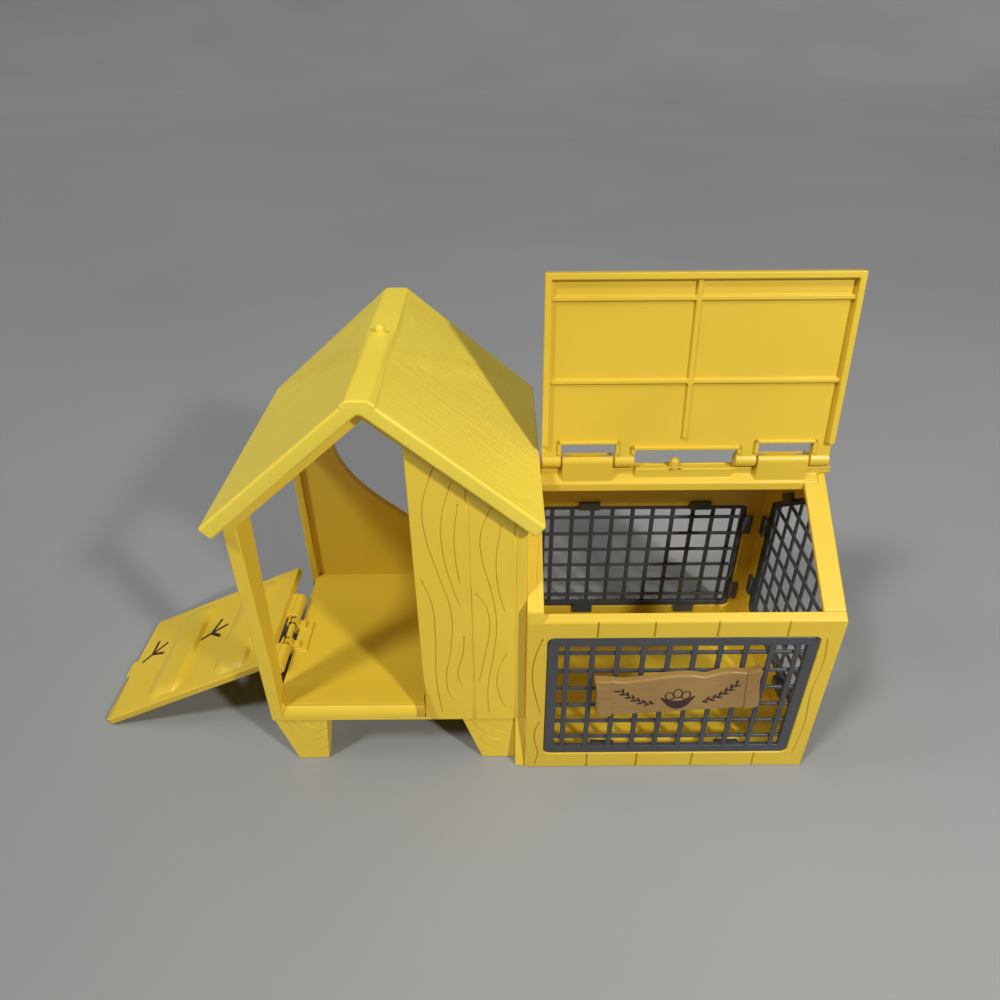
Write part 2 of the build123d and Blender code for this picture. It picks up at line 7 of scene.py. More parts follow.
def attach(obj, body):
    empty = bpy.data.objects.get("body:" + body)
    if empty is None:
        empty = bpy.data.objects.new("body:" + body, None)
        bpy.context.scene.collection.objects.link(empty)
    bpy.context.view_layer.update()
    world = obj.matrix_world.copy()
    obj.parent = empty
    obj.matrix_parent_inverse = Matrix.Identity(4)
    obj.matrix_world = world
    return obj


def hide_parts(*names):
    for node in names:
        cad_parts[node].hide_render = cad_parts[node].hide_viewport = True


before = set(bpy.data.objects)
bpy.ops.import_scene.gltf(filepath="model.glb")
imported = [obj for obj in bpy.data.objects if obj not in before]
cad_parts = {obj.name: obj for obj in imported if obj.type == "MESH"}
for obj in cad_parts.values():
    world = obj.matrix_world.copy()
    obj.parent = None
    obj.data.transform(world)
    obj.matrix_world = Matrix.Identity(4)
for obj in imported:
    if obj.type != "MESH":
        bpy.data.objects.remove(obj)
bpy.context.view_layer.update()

# Toy chicken coop. Sizes here are in millimetres, as in the part's source, and every mesh is
# brought to metres when it is made. +X is to the right, +Y to the back, +Z up.
MM = 0.001
LEVEL = Matrix.Identity(4)

# Run
RUN_WIDTH, RUN_DEPTH = 100.0, 79.0
RUN_FRONT, RUN_BACK = -RUN_DEPTH / 2, RUN_DEPTH / 2
RUN_EAVE = 70.6
RUN_PITCH = radians(37.0)
RUN_SLOPE = tan(RUN_PITCH)
RUN_RIDGE = RUN_EAVE + RUN_SLOPE * RUN_DEPTH / 2
BAND_RISE = 4.4

# Lid and its hinge
LID_AXIS = Vector((0.0, 0.5, RUN_RIDGE + 5.2))
LID_LEAN = 8.5
LID_SKIN = 1.6
LID_CLIPS = ((-37.7, -21.1), (26.2, 42.8))
LID_CLIP_SLOT, LEDGE_SLOT = 6.3, 4.2
LEDGE = (-14.1, 18.9)
LEDGE_PEG_X, LEDGE_TOP = -0.6, LID_AXIS.z - 2.5
NOTCH_LEFT, NOTCH_RIGHT = 3.3, 3.7
BORDER_RISE, BORDER_START, BORDER_ROUNDING = 1.0, 2.8, 0.4

# House
HOUSE_FRONT, HOUSE_BACK = RUN_FRONT + 3.5, RUN_BACK + 1.0
HOUSE_LEFT = -138.8
ROOF_PITCH = radians(40.6)
ROOF_FRONT, ROOF_BACK = HOUSE_FRONT - 5.0, HOUSE_BACK + 11.0
ROOF_MIDDLE, ROOF_HALF_FLAT = -94.275, 3.575
ROOF_RIDGE, ROOF_EAVE = 147.49, 108.2
RIDGE_STEP, RIDGE_STEP_END = 0.5, 47.5
ROOF_SLOPE_LENGTH = (ROOF_RIDGE - ROOF_EAVE) / sin(ROOF_PITCH)
LEG_INSET = 1.0
SILL_TOP, SILL_LEFT, SILL_RIGHT = 28.0, HOUSE_LEFT + 4.2, -84.4
SILL_ROUND_DEPTH, SILL_ROUND_DROP = 2.6, 4.6
SEAM_FRONT, SEAM_BACK, SEAM_LOW, SEAM_TOP = HOUSE_FRONT + 1.6, HOUSE_FRONT + 3.6, 26.5, 27.98

# Pegs on both ridges
PEG_RADIUS = 1.6

# Ramp, drawn level from its axis along -X and then lowered
RAMP_AXIS = (-139.3, 0.0, 30.0)
RAMP_SLOPE = 24.64
RAMP_FRONT, RAMP_BACK = -19.5, 35.2
RAMP_TOP = 4.95


# Making meshes

def add_object(name, data):
    thing = bpy.data.objects.new(name, data)
    bpy.context.scene.collection.objects.link(thing)
    return thing


def piece_from(name, points, faces, place=LEVEL):
    """New piece from points in millimetres, put in place before it is scaled to metres."""
    mesh = bpy.data.meshes.new(name)
    mesh.from_pydata([(place @ Vector(p)) * MM for p in points], [], faces)
    mesh.update()
    return add_object(name, mesh)


def finished_mesh(thing):
    """Plain mesh of an object with its modifiers applied."""
    graph = bpy.context.evaluated_depsgraph_get()
    return bpy.data.meshes.new_from_object(thing.evaluated_get(graph))


def bake(piece):
    mesh = finished_mesh(piece)
    piece.modifiers.clear()
    piece.data = mesh
    return piece


def smooth(piece, angle=38):
    """Smooth shading that keeps flat faces flat up to their rounded edges."""
    for face in piece.data.polygons:
        face.use_smooth = True
    piece.data.set_sharp_from_angle(angle=radians(angle))
    even = piece.modifiers.new("even shading", "WEIGHTED_NORMAL")
    even.keep_sharp = True
    return bake(piece)


def tidy_faces(piece, outward=False, flat=0.5):
    """Merges doubles and, up to an angle in degrees, flat neighbouring faces. It can also turn
    every face outwards."""
    work = bmesh.new()
    work.from_mesh(piece.data)
    bmesh.ops.remove_doubles(work, verts=work.verts, dist=1e-6)
    if flat:
        limit = radians(flat)
        bmesh.ops.dissolve_limit(work, angle_limit=limit, verts=work.verts, edges=work.edges)
    if outward:
        bmesh.ops.recalc_face_normals(work, faces=work.faces)
    work.to_mesh(piece.data)
    work.free()
    return piece


def moulded_copy(node, name, flat=0.5):
    """Copy of a solid with its doubles merged, ready to be rounded and engraved."""
    piece = add_object(name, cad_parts[node].data.copy())
    piece.data.materials.clear()
    return tidy_faces(piece, flat=flat)


def pressed_flat(piece, place, level):
    """Presses everything above a level down to it."""
    to_metres = Matrix.Scale(MM, 4) @ place
    from_metres = to_metres.inverted()
    for vertex in piece.data.vertices:
        spot = from_metres @ vertex.co
        if spot.z > level:
            vertex.co = to_metres @ Vector((spot.x, spot.y, level))
    return piece


def round_edges(piece, width, segments=3, angle=28):
    bevel = piece.modifiers.new("rounded edges", "BEVEL")
    bevel.width = width * MM
    bevel.segments = segments
    bevel.limit_method = "ANGLE"
    bevel.angle_limit = radians(angle)
    bevel.use_clamp_overlap = False
    bevel.miter_outer = "MITER_ARC"
    return bake(piece)


def carve(piece, tool, operation="DIFFERENCE"):
    """Cuts another piece out of this one, or keeps only what both share."""
    cut = piece.modifiers.new("carving", "BOOLEAN")
    cut.operation = operation
    cut.solver = "EXACT"
    cut.use_self = operation == "DIFFERENCE"
    cut.object = tool
    bake(piece)
    bpy.data.objects.remove(tool)
    return piece


def joined(name, pieces):
    """One piece out of several that share a finish."""
    work = bmesh.new()
    for piece in pieces:
        work.from_mesh(piece.data)
    mesh = bpy.data.meshes.new(name)
    work.to_mesh(mesh)
    work.free()
    for piece in pieces:
        bpy.data.objects.remove(piece)
    return add_object(name, mesh)


def box(name, low, high, place=LEVEL):
    xs, ys, zs = zip(low, high)
    corners = [(x, y, z) for x in xs for y in ys for z in zs]
    faces = [(0, 1, 3, 2), (4, 6, 7, 5), (0, 4, 5, 1), (2, 3, 7, 6), (0, 2, 6, 4), (1, 5, 7, 3)]
    return piece_from(name, corners, faces, place)


def rounded_box(name, low, high, radius, place=LEVEL):
    return round_edges(box(name, low, high, place), radius)


def outline_prism(name, outline, low, high, place=LEVEL):
    """Solid between two levels, from an outline that turns to the left."""
    count = len(outline)
    points = [(u, v, low) for u, v in outline] + [(u, v, high) for u, v in outline]
    faces = [tuple(reversed(range(count))), tuple(range(count, 2 * count))]
    faces += [(i, (i + 1) % count, (i + 1) % count + count, i + count) for i in range(count)]
    return piece_from(name, points, faces, place)


def stacked(name, rings, place=LEVEL):
    """Closed solid through a stack of rings with the same number of points."""
    count = len(rings[0])
    points = [p for ring in rings for p in ring]
    faces = []
    for a in range(0, (len(rings) - 1) * count, count):
        for i in range(count):
            b = a + (i + 1) % count
            faces.append((a + i, b, b + count, a + i + count))
    faces.append(tuple(reversed(range(count))))
    faces.append(tuple(range((len(rings) - 1) * count, len(rings) * count)))
    return piece_from(name, points, faces, place)


def cushioned_plate(name, outline, low, high, radius, place=LEVEL, steps=4):
    """Plate whose front edge is rounded all the way round its outline."""
    count = len(outline)
    inward = []
    for i in range(count):
        here = Vector(outline[i])
        before = (here - Vector(outline[i - 1])).normalized()
        after = (Vector(outline[(i + 1) % count]) - here).normalized()
        side = Vector((-before.y - after.y, before.x + after.x)).normalized()
        inward.append(side / max(0.5, side.dot(Vector((-after.y, after.x)))))
    rings = [[(*p, low) for p in outline]]
    for k in range(steps + 1):
        turn = pi / 2 * k / steps
        inset, level = radius * (1 - cos(turn)), high - radius * (1 - sin(turn))
        rings.append([(*(Vector(p) + shift * inset), level) for p, shift in zip(outline, inward)])
    return stacked(name, rings, place)


def peg(name, x, y, low, radius, height):
    """Upright peg with a domed top."""
    steps = [(radius, 0.0)]
    for a in (0.0, 0.4, 0.8, 1.15, 1.4):
        steps.append((radius * cos(a), height - radius + radius * sin(a)))
    rings = []
    for r, rise in steps:
        turns = [2 * pi * i / 24 for i in range(24)]
        rings.append([(x + r * cos(t), y + r * sin(t), low + rise) for t in turns])
    return stacked(name, rings)


def flowing(knots, per_span=4):
    """Points along a smooth line through the knots."""
    knots = [Vector(knot) for knot in knots]
    path = [2 * knots[0] - knots[1], *knots, 2 * knots[-1] - knots[-2]]
    points = []
    for a, b, c, d in zip(path, path[1:], path[2:], path[3:]):
        for k in range(per_span):
            t = k / per_span
            bend = (2 * a - 5 * b + 4 * c - d) * t * t + (3 * b - a - 3 * c + d) * t ** 3
            points.append(b + ((c - a) * t + bend) / 2)
    return points + [knots[-1]]


def face_place(origin, outward, up_line=(0, 0, 1)):
    """Place of a flat drawing on a face: its Z looks outwards and its Y follows the up line."""
    y, z = Vector(up_line).normalized(), Vector(outward).normalized()
    turn = Matrix((y.cross(z), y, z)).transposed().to_4x4()
    return Matrix.Translation(origin) @ turn


# Geometry node trees for what follows a path or repeats

def new_tree(name, inputs):
    """New tree with named inputs: counts, sizes and, where no value is given, a finish."""
    tree = bpy.data.node_groups.new(name, "GeometryNodeTree")
    tree.interface.new_socket("Geometry", in_out="INPUT", socket_type="NodeSocketGeometry")
    kinds = {int: "NodeSocketInt", float: "NodeSocketFloat", type(None): "NodeSocketMaterial"}
    sockets = {}
    for label, value in inputs.items():
        socket = tree.interface.new_socket(label, in_out="INPUT", socket_type=kinds[type(value)])
        if value is not None:
            socket.default_value = value
        sockets[label] = socket.identifier
    tree.interface.new_socket("Geometry", in_out="OUTPUT", socket_type="NodeSocketGeometry")
    start, end = tree.nodes.new("NodeGroupInput"), tree.nodes.new("NodeGroupOutput")
    return tree, start.outputs, end, sockets


def fed(tree, node, values):
    """Feeds a node's inputs, each with a number or with another node's output."""
    for key, value in values.items():
        if isinstance(value, (int, float, tuple)):
            node.inputs[key].default_value = value
        else:
            tree.links.new(value, node.inputs[key])
    return node


def new_node(tree, kind, values):
    return fed(tree, tree.nodes.new(kind), values)


def new_math(tree, operation, first, second):
    node = tree.nodes.new("ShaderNodeMath")
    node.operation = operation
    return fed(tree, node, {0: first, 1: second}).outputs[0]


def new_vector(tree, x=0.0, y=0.0, z=0.0):
    return new_node(tree, "ShaderNodeCombineXYZ", {0: x, 1: y, 2: z}).outputs[0]


def even_points(tree, line, spacing):
    """The same line with its points set at an even spacing."""
    even = tree.nodes.new("GeometryNodeResampleCurve")
    even.mode = "LENGTH"
    return fed(tree, even, {"Curve": line, "Length": spacing}).outputs[0]


def swept(tree, given, line):
    """Tube with closed ends along a line, as wide as the tree's Stroke Width."""
    radius = new_math(tree, "MULTIPLY", given["Stroke Width"], 0.5)
    ring = new_node(tree, "GeometryNodeCurvePrimitiveCircle", {
        "Resolution": given["Sides"], "Radius": radius})
    sweep = new_node(tree, "GeometryNodeCurveToMesh", {
        "Curve": line, "Profile Curve": ring.outputs[0], "Fill Caps": True})
    return sweep.outputs[0]


def finish_tree(tree, given, end, geometry):
    """Ends a tree in real geometry with its finish set."""
    realize = new_node(tree, "GeometryNodeRealizeInstances", {0: geometry})
    finish = new_node(tree, "GeometryNodeSetMaterial", {
        "Geometry": realize.outputs[0], "Material": given["Finish"]})
    tree.links.new(finish.outputs[0], end.inputs[0])


def stroke_tree():
    """Round stroke of an even width that follows each line, for engraving and for prints."""
    inputs = {"Stroke Width": 0.4 * MM, "Point Spacing": 1.2 * MM, "Sides": 8, "Finish": None}
    tree, given, end, sockets = new_tree("stroke along a line", inputs)
    even = even_points(tree, given["Geometry"], given["Point Spacing"])
    finish_tree(tree, given, end, swept(tree, given, even))
    return tree, sockets


def grain_tree():
    """Field of long wavy grain lines of different lengths. They run along Y, side by side
    along X."""
    inputs = {
        "Line Count": 40, "Spacing": 2.0 * MM, "Line Length": 60 * MM, "Waviness": 3 * MM,
        "Shortest": 0.3, "Stroke Width": 0.3 * MM, "Sides": 6, "Seed": 1, "Finish": None,
    }
    tree, given, end, sockets = new_tree("field of grain lines", inputs)
    point_spacing, wave_scale = 3.0 * MM, 22.0
    nodes = tree.nodes
    row = new_node(tree, "GeometryNodeMeshLine", {
        "Count": given["Line Count"], "Offset": new_vector(tree, x=given["Spacing"])})
    line = new_node(tree, "GeometryNodeCurvePrimitiveLine", {
        "End": new_vector(tree, y=given["Line Length"])})
    spread = new_node(tree, "GeometryNodeInstanceOnPoints", {
        "Points": row.outputs[0], "Instance": line.outputs[0]})
    single = new_node(tree, "GeometryNodeRealizeInstances", {0: spread.outputs[0]})

    def chance(high, shift):
        """Random number for each line, from 0 up to a limit."""
        seed = new_math(tree, "ADD", given["Seed"], shift)
        number = nodes.new("FunctionNodeRandomValue")
        return fed(tree, number, {2: 0.0, 3: high, "Seed": seed}).outputs[1]

    first = new_math(tree, "MULTIPLY", chance(1.0, 10), chance(0.75, 20))
    span = new_math(tree, "ADD", given["Shortest"], chance(0.7, 30))
    trim = new_node(tree, "GeometryNodeTrimCurve", {
        0: single.outputs[0], 2: first, 3: new_math(tree, "ADD", first, span)})
    even = even_points(tree, trim.outputs[0], point_spacing)
    shifted = nodes.new("ShaderNodeVectorMath")
    places = nodes.new("GeometryNodeInputPosition").outputs[0]
    fed(tree, shifted, {0: places, 1: new_vector(tree, z=given["Seed"])})
    wave = new_node(tree, "ShaderNodeTexNoise", {
        "Vector": shifted.outputs[0], "Scale": wave_scale, "Detail": 1.0})
    sway = new_math(tree, "SUBTRACT", wave.outputs["Fac"], 0.5)
    bend = new_math(tree, "MULTIPLY", sway, given["Waviness"])
    move = new_node(tree, "GeometryNodeSetPosition", {
        "Geometry": even, "Offset": new_vector(tree, x=bend)})
    finish_tree(tree, given, end, swept(tree, given, move.outputs[0]))
    return tree, sockets


def bar_row_tree():
    """Evenly pitched row of rounded bars, along X from the first, each running along Y.
    Beyond the Full Length Reach from the Longest At place, bars get shorter by the Taper Rate."""
    inputs = {
        "Bar Count": 10, "Pitch": 8.2 * MM, "Bar Start": 0.0, "Bar End": 50 * MM,
        "Longest At": 0.0, "Full Length Reach": 1.0, "Taper Rate": 0.0,
        "Bar Width": 1.8 * MM, "Bar Depth": 0.8 * MM, "Finish": None,
    }
    tree, given, end, sockets = new_tree("row of bars", inputs)
    corner_share = 0.4
    nodes = tree.nodes
    row = new_node(tree, "GeometryNodeMeshLine", {
        "Count": given["Bar Count"], "Offset": new_vector(tree, x=given["Pitch"])})
    line = nodes.new("GeometryNodeCurvePrimitiveLine")
    fed(tree, line, {"Start": new_vector(tree, y=given["Bar Start"]),
                     "End": new_vector(tree, y=given["Bar End"])})
    outline = new_node(tree, "GeometryNodeCurvePrimitiveQuadrilateral", {
        "Width": given["Bar Width"], "Height": given["Bar Depth"]})
    rounded = nodes.new("GeometryNodeFilletCurve")
    rounded.mode = "POLY"
    rounding = new_math(tree, "MULTIPLY", given["Bar Depth"], corner_share)
    fed(tree, rounded, {"Curve": outline.outputs[0], "Count": 3, "Radius": rounding})
    sweep = nodes.new("GeometryNodeCurveToMesh")
    section = rounded.outputs[0]
    fed(tree, sweep, {"Curve": line.outputs[0], "Profile Curve": section, "Fill Caps": True})
    number = nodes.new("GeometryNodeInputIndex").outputs[0]
    along = new_math(tree, "MULTIPLY", number, given["Pitch"])
    away = new_math(tree, "SUBTRACT", along, given["Longest At"])
    away = new_math(tree, "ABSOLUTE", away, 0.0)
    beyond = new_math(tree, "SUBTRACT", away, given["Full Length Reach"])
    beyond = new_math(tree, "MAXIMUM", beyond, 0.0)
    loss = new_math(tree, "MULTIPLY", beyond, given["Taper Rate"])
    share = new_math(tree, "SUBTRACT", 1.0, loss)
    spread = nodes.new("GeometryNodeInstanceOnPoints")
    fed(tree, spread, {"Points": row.outputs[0], "Instance": sweep.outputs[0],
                       "Scale": new_vector(tree, 1.0, share, 1.0)})
    finish_tree(tree, given, end, spread.outputs[0])
    return tree, sockets


def ear_tree():
    """Wheat ear: flat grains along each stem, set to the left and right in turn."""
    inputs = {
        "Grain Count": 9, "Grain Length": 1.9 * MM, "Grain Width": 0.8 * MM,
        "Spread Angle": 0.6, "Finish": None,
    }
    tree, given, end, sockets = new_tree("wheat ear along a stem", inputs)
    nodes = tree.nodes
    seats = new_node(tree, "GeometryNodeCurveToPoints", {
        "Curve": given["Geometry"], "Count": given["Grain Count"]})
    ball = new_node(tree, "GeometryNodeMeshUVSphere", {"Segments": 12, "Rings": 6, "Radius": 0.5})
    length, width = given["Grain Length"], given["Grain Width"]
    shape = nodes.new("GeometryNodeTransform")
    reach = new_math(tree, "MULTIPLY", length, 0.5)
    fed(tree, shape, {"Geometry": ball.outputs[0], "Scale": new_vector(tree, length, width, width),
                      "Translation": new_vector(tree, x=reach)})
    along = nodes.new("FunctionNodeAlignRotationToVector")
    along.axis = "X"
    fed(tree, along, {"Vector": seats.outputs["Tangent"]})
    number = nodes.new("GeometryNodeInputIndex").outputs[0]
    side = new_math(tree, "MULTIPLY", new_math(tree, "MODULO", number, 2), 2)
    side = new_math(tree, "SUBTRACT", side, 1)
    angle = new_math(tree, "MULTIPLY", side, given["Spread Angle"])
    tilt = new_node(tree, "FunctionNodeAxisAngleToRotation", {
        "Axis": (0.0, 0.0, 1.0), "Angle": angle})
    turn = nodes.new("FunctionNodeRotateRotation")
    turn.rotation_space = "LOCAL"
    fed(tree, turn, {"Rotation": along.outputs[0], "Rotate By": tilt.outputs[0]})
    spread = nodes.new("GeometryNodeInstanceOnPoints")
    fed(tree, spread, {"Points": seats.outputs["Points"], "Instance": shape.outputs[0],
                       "Rotation": turn.outputs[0]})
    finish_tree(tree, given, end, spread.outputs[0])
    return tree, sockets


STROKES, STROKE_INPUTS = stroke_tree()
GRAIN, GRAIN_INPUTS = grain_tree()
BAR_ROWS, BAR_INPUTS = bar_row_tree()
EARS, EAR_INPUTS = ear_tree()


def grow(name, base, tree, sockets, values, place=LEVEL, thickness=1.0):
    """Runs a tree on a base drawn flat, stretches the result to its thickness, and puts it in
    place as a piece."""
    maker = add_object(name, base)
    modifier = maker.modifiers.new("tree", "NODES")
    modifier.node_group = tree
    for label, value in values.items():
        modifier[sockets[label]] = value
    mesh = finished_mesh(maker)
    bpy.data.objects.remove(maker)
    mesh.name = name
    metres = Matrix.Scale(MM, 4)
    mesh.transform(metres @ place @ metres.inverted() @ Matrix.Diagonal((1, 1, thickness, 1)))
    return add_object(name, mesh)


def lines_curve(name, lines, widths=None):
    """Smooth splines through lines of points, flat or with their own height."""
    curve = bpy.data.curves.new(name, "CURVE")
    curve.dimensions = "3D"
    for points in lines:
        spline = curve.splines.new("BEZIER")
        spline.bezier_points.add(len(points) - 1)
        for i, (knot, p) in enumerate(zip(spline.bezier_points, points)):
            knot.co = Vector((*p, 0)[:3]) * MM
            knot.handle_left_type = knot.handle_right_type = "AUTO"
            knot.radius = widths[i] if widths else 1.0
    return curve


def strokes(name, lines, width, finish=None, place=LEVEL, spacing=1.2, sides=8, thickness=1.0,
            widths=None):
    values = {
        "Stroke Width": width * MM, "Point Spacing": spacing * MM, "Sides": sides,
        "Finish": finish,
    }
    base = lines_curve(name, lines, widths)
    return grow(name, base, STROKES, STROKE_INPUTS, values, place, thickness)


# Spacing of the points along a line that bends and along a straight one, and how many times
# deeper than a half round it is cut
POINT_SPACING, STRAIGHT_SPACING = 1.5, 20
HALF_ROUND, DEEP_CUT = 1.0, 2.0


def engrave(piece, lines, width, place, spacing=POINT_SPACING, deepening=DEEP_CUT):
    """Cuts round-bottomed lines into a flat face, deeper than a half round by the deepening."""
    return carve(piece, strokes("engraving", lines, width, None, place, spacing, 6, deepening))


def engrave_grain(piece, place, values, deepening):
    """Cuts a whole field of grain lines into a flat face."""
    base = bpy.data.meshes.new("grain")
    return carve(piece, grow("grain", base, GRAIN, GRAIN_INPUTS, values, place, deepening))


# Finishes

def new_finish(name):
    finish = bpy.data.materials.new(name)
    finish.use_nodes = True
    tree = finish.node_tree
    places = tree.nodes.new("ShaderNodeTexCoord").outputs["Object"]
    return finish, tree, tree.nodes["Principled BSDF"], places


def noise_on(tree, places, scale, detail, stretch=None):
    """Noise on Object coordinates, with its pattern stretched where that is asked for."""
    if stretch:
        mapping = new_node(tree, "ShaderNodeMapping", {"Vector": places, "Scale": stretch})
        places = mapping.outputs[0]
    values = {"Vector": places, "Scale": scale, "Detail": detail}
    return new_node(tree, "ShaderNodeTexNoise", values).outputs["Fac"]


def blend_of(tree, value, low, high):
    """Blend of two colours, which are reached at the values 0.3 and 0.7."""
    ramp = new_node(tree, "ShaderNodeValToRGB", {0: value})
    for element, position, colour in zip(ramp.color_ramp.elements, (0.3, 0.7), (low, high)):
        element.position = position
        element.color = (*colour, 1)
    return ramp.outputs["Color"]


# How often each pattern of the plastic changes, in cycles a metre
MOTTLING, PEBBLES, GLOSS_PATCHES = 35.0, 2600.0, 160.0


def satin_plastic(name, light, deep, roughness, grain=None, grain_height=0.2, grain_top=None):
    """Moulded plastic: soft mottling in its colour, a fine pebbled skin and uneven gloss.
    A grain is how often its wood lines change along X, Y and Z, in cycles a metre, and it may
    fade out at a top level."""
    finish, tree, shader, places = new_finish(name)
    gloss = new_node(tree, "ShaderNodeMapRange", {
        "Value": noise_on(tree, places, GLOSS_PATCHES, 4.0),
        "To Min": roughness - 0.06, "To Max": roughness + 0.08})
    skin = new_node(tree, "ShaderNodeBump", {
        "Height": noise_on(tree, places, PEBBLES, 2.0), "Strength": 0.15, "Distance": 0.04 * MM})
    surface = skin.outputs[0]
    if grain:
        lines = noise_on(tree, places, 1.0, 2.0, grain)
        if grain_top:
            split = new_node(tree, "ShaderNodeSeparateXYZ", {0: places})
            fade = new_node(tree, "ShaderNodeMapRange", {
                "Value": split.outputs["Z"], "From Min": grain_top * MM,
                "From Max": (grain_top - 1.0) * MM})
            lines = new_math(tree, "MULTIPLY", lines, fade.outputs[0])
        wood = new_node(tree, "ShaderNodeBump", {
            "Height": lines, "Strength": 0.8, "Distance": grain_height * MM, "Normal": surface})
        surface = wood.outputs[0]
    tone = noise_on(tree, places, MOTTLING, 2.0)
    fed(tree, shader, {
        "Base Color": blend_of(tree, tone, deep, light), "Roughness": gloss.outputs[0],
        "Normal": surface, "IOR": 1.5})
    return finish


YELLOW = satin_plastic("satin yellow plastic", (0.93, 0.66, 0.055), (0.89, 0.62, 0.045), 0.38)
# Darker copy of the same yellow plastic, as painted shade: it darkens the run's walls, floor and
# rear roof, the lid, the ramp and the house's floor.
PAINTED_SHADE_YELLOW = satin_plastic(
    "yellow plastic darkened as painted shade", (0.81, 0.56, 0.042), (0.77, 0.53, 0.036), 0.38)
# Lighter, more lemon copy of the same yellow plastic for the roof, as painted light on its lit
# slopes. Its grain lines are real.
PAINTED_LIGHT_ROOF_YELLOW = satin_plastic(
    "lemon plastic grained down the roof", (0.97, 0.755, 0.08), (0.94, 0.725, 0.068), 0.42,
    grain=(45.0, 1300.0, 45.0), grain_height=0.28, grain_top=ROOF_RIDGE - 0.6)
GRILLE_GREY = satin_plastic(
    "blue-grey grille plastic", (0.066, 0.070, 0.080), (0.056, 0.059, 0.068), 0.30)
SIGN_TAN = satin_plastic(
    "tan sign plastic", (0.40, 0.24, 0.075), (0.30, 0.17, 0.045), 0.36,
    grain=(60.0, 60.0, 700.0), grain_height=0.2)
PRINT_BROWN = satin_plastic(
    "dark brown print", (0.055, 0.018, 0.015), (0.04, 0.014, 0.012), 0.5)


def dress(piece, finish, *nodes, body="coop", slot="yellow_plastic"):
    """Shades a piece smoothly, gives it its finish and its body, and hides the nodes it stands for.
    """
    smooth(piece)
    piece.data.materials.clear()
    piece.data.materials.append(finish)
    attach(piece, body)
    if nodes:
        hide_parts(*nodes)
    return piece


# Faces that carry drawings, seen flat from outside

FRONT_FACE = face_place((0, RUN_FRONT, 0), (0, -1, 0))
BACK_FACE = face_place((0, RUN_BACK, 0), (0, 1, 0))
RIGHT_FACE = face_place((RUN_WIDTH / 2, 0, 0), (1, 0, 0))
HOUSE_FACE = face_place((0, HOUSE_FRONT, 0), (0, -1, 0))
HOUSE_REAR = face_place((0, HOUSE_BACK, 0), (0, 1, 0))
LID_PLACE = Matrix.Translation(LID_AXIS) @ Matrix.Rotation(radians(-LID_LEAN), 4, "X")
RAMP_PLACE = Matrix.Translation(RAMP_AXIS) @ Matrix.Rotation(radians(-RAMP_SLOPE), 4, "Y")


# Run

PLANK_XS = (-27.7, -9.8, 10.1, 32.2)
PLANK_GROOVE, GRAIN_LINE = 0.72, 0.54


def plank_grooves(xs):
    """Short grooves over and under a grille, where the planks of the wall meet."""
    return [[(x, 64.0), (x, 71.5)] for x in xs] + [[(x, -1), (x, 7.3)] for x in xs]


def make_panel(node, name, rounding, finish, *engravings):
    """Panel copied from its solid, rounded, and engraved with sets of lines. Each set is given
    as lines, width, face and, where they differ, point spacing and deepening."""
    panel = round_edges(moulded_copy(node, name), rounding)
    for engraving in engravings:
        engrave(panel, *engraving)
    return dress(panel, finish, node)


def make_run_walls():
    """Walls of the run. The left one has a raised band with one long grain line down its front
    slope."""
    front_grain = [
        [(-44.9, 63.9), (-47.0, 56.8), (-48.0, 47.3), (-46.8, 37.4), (-44.8, 28.6)],
        [(-44.8, 24.6), (-46.4, 20.8), (-46.7, 14.7), (-45.4, 7.4), (-46.6, 1.6)],
        [(45.2, 63.0), (46.4, 52.0), (45.6, 38.0), (46.8, 22.0), (45.9, 6.0)],
    ]
    make_panel("run_front_wall", "run_front_panel", 0.5, PAINTED_SHADE_YELLOW,
               (plank_grooves(PLANK_XS), PLANK_GROOVE, FRONT_FACE),
               (front_grain, GRAIN_LINE, FRONT_FACE))
    make_panel("run_back_wall", "run_back_panel", 0.45, PAINTED_SHADE_YELLOW,
               (plank_grooves([-x for x in PLANK_XS]), PLANK_GROOVE, BACK_FACE))
    knots = [(-46.4, -12), (-46.3, -18.8), (-46.2, -21.4), (-46.7, -26.1), (-47.1, -30.2),
             (-46.8, -34.3), (-46.7, -38)]
    line = [(x, y, RUN_RIDGE + BAND_RISE + RUN_SLOPE * y) for x, y in knots]
    make_panel("run_left_wall", "run_left_panel", 0.5, YELLOW,
               ([line], GRAIN_LINE, LEVEL, POINT_SPACING, HALF_ROUND))
    posts = [
        [(-33.6, 4.0), (-34.6, 22.0), (-33.0, 40.0), (-34.4, 58.0), (-33.6, 68.0)],
        [(33.8, 6.0), (32.8, 24.0), (34.6, 42.0), (33.2, 56.0), (34.2, 66.0)],
    ]
    grooves = [[(y, -1), (y, 13.0)] for y in (-18.0, 1.5, 20.0)]
    make_panel("run_right_wall", "run_right_panel", 0.5, PAINTED_SHADE_YELLOW,
               (posts, GRAIN_LINE, RIGHT_FACE), (grooves, PLANK_GROOVE, RIGHT_FACE))


def make_plain_panels():
    """Panels without grooves. The house's floor gets a seam that closes its gap to the sill."""
    make_panel("run_floor", "run_floor_panel", 0.3, PAINTED_SHADE_YELLOW)
    make_panel("house_right_wall", "house_inner_wall", 0.3, YELLOW)
    floor = round_edges(moulded_copy("house_floor", "house_floor_panel"), 0.25)
    low, high = (SILL_LEFT + 1, SEAM_FRONT, SEAM_LOW), (SILL_RIGHT - 1, SEAM_BACK, SEAM_TOP)
    floor = joined("house_floor_panel_to_sill", [floor, box("seam", low, high)])
    dress(floor, PAINTED_SHADE_YELLOW, "house_floor")


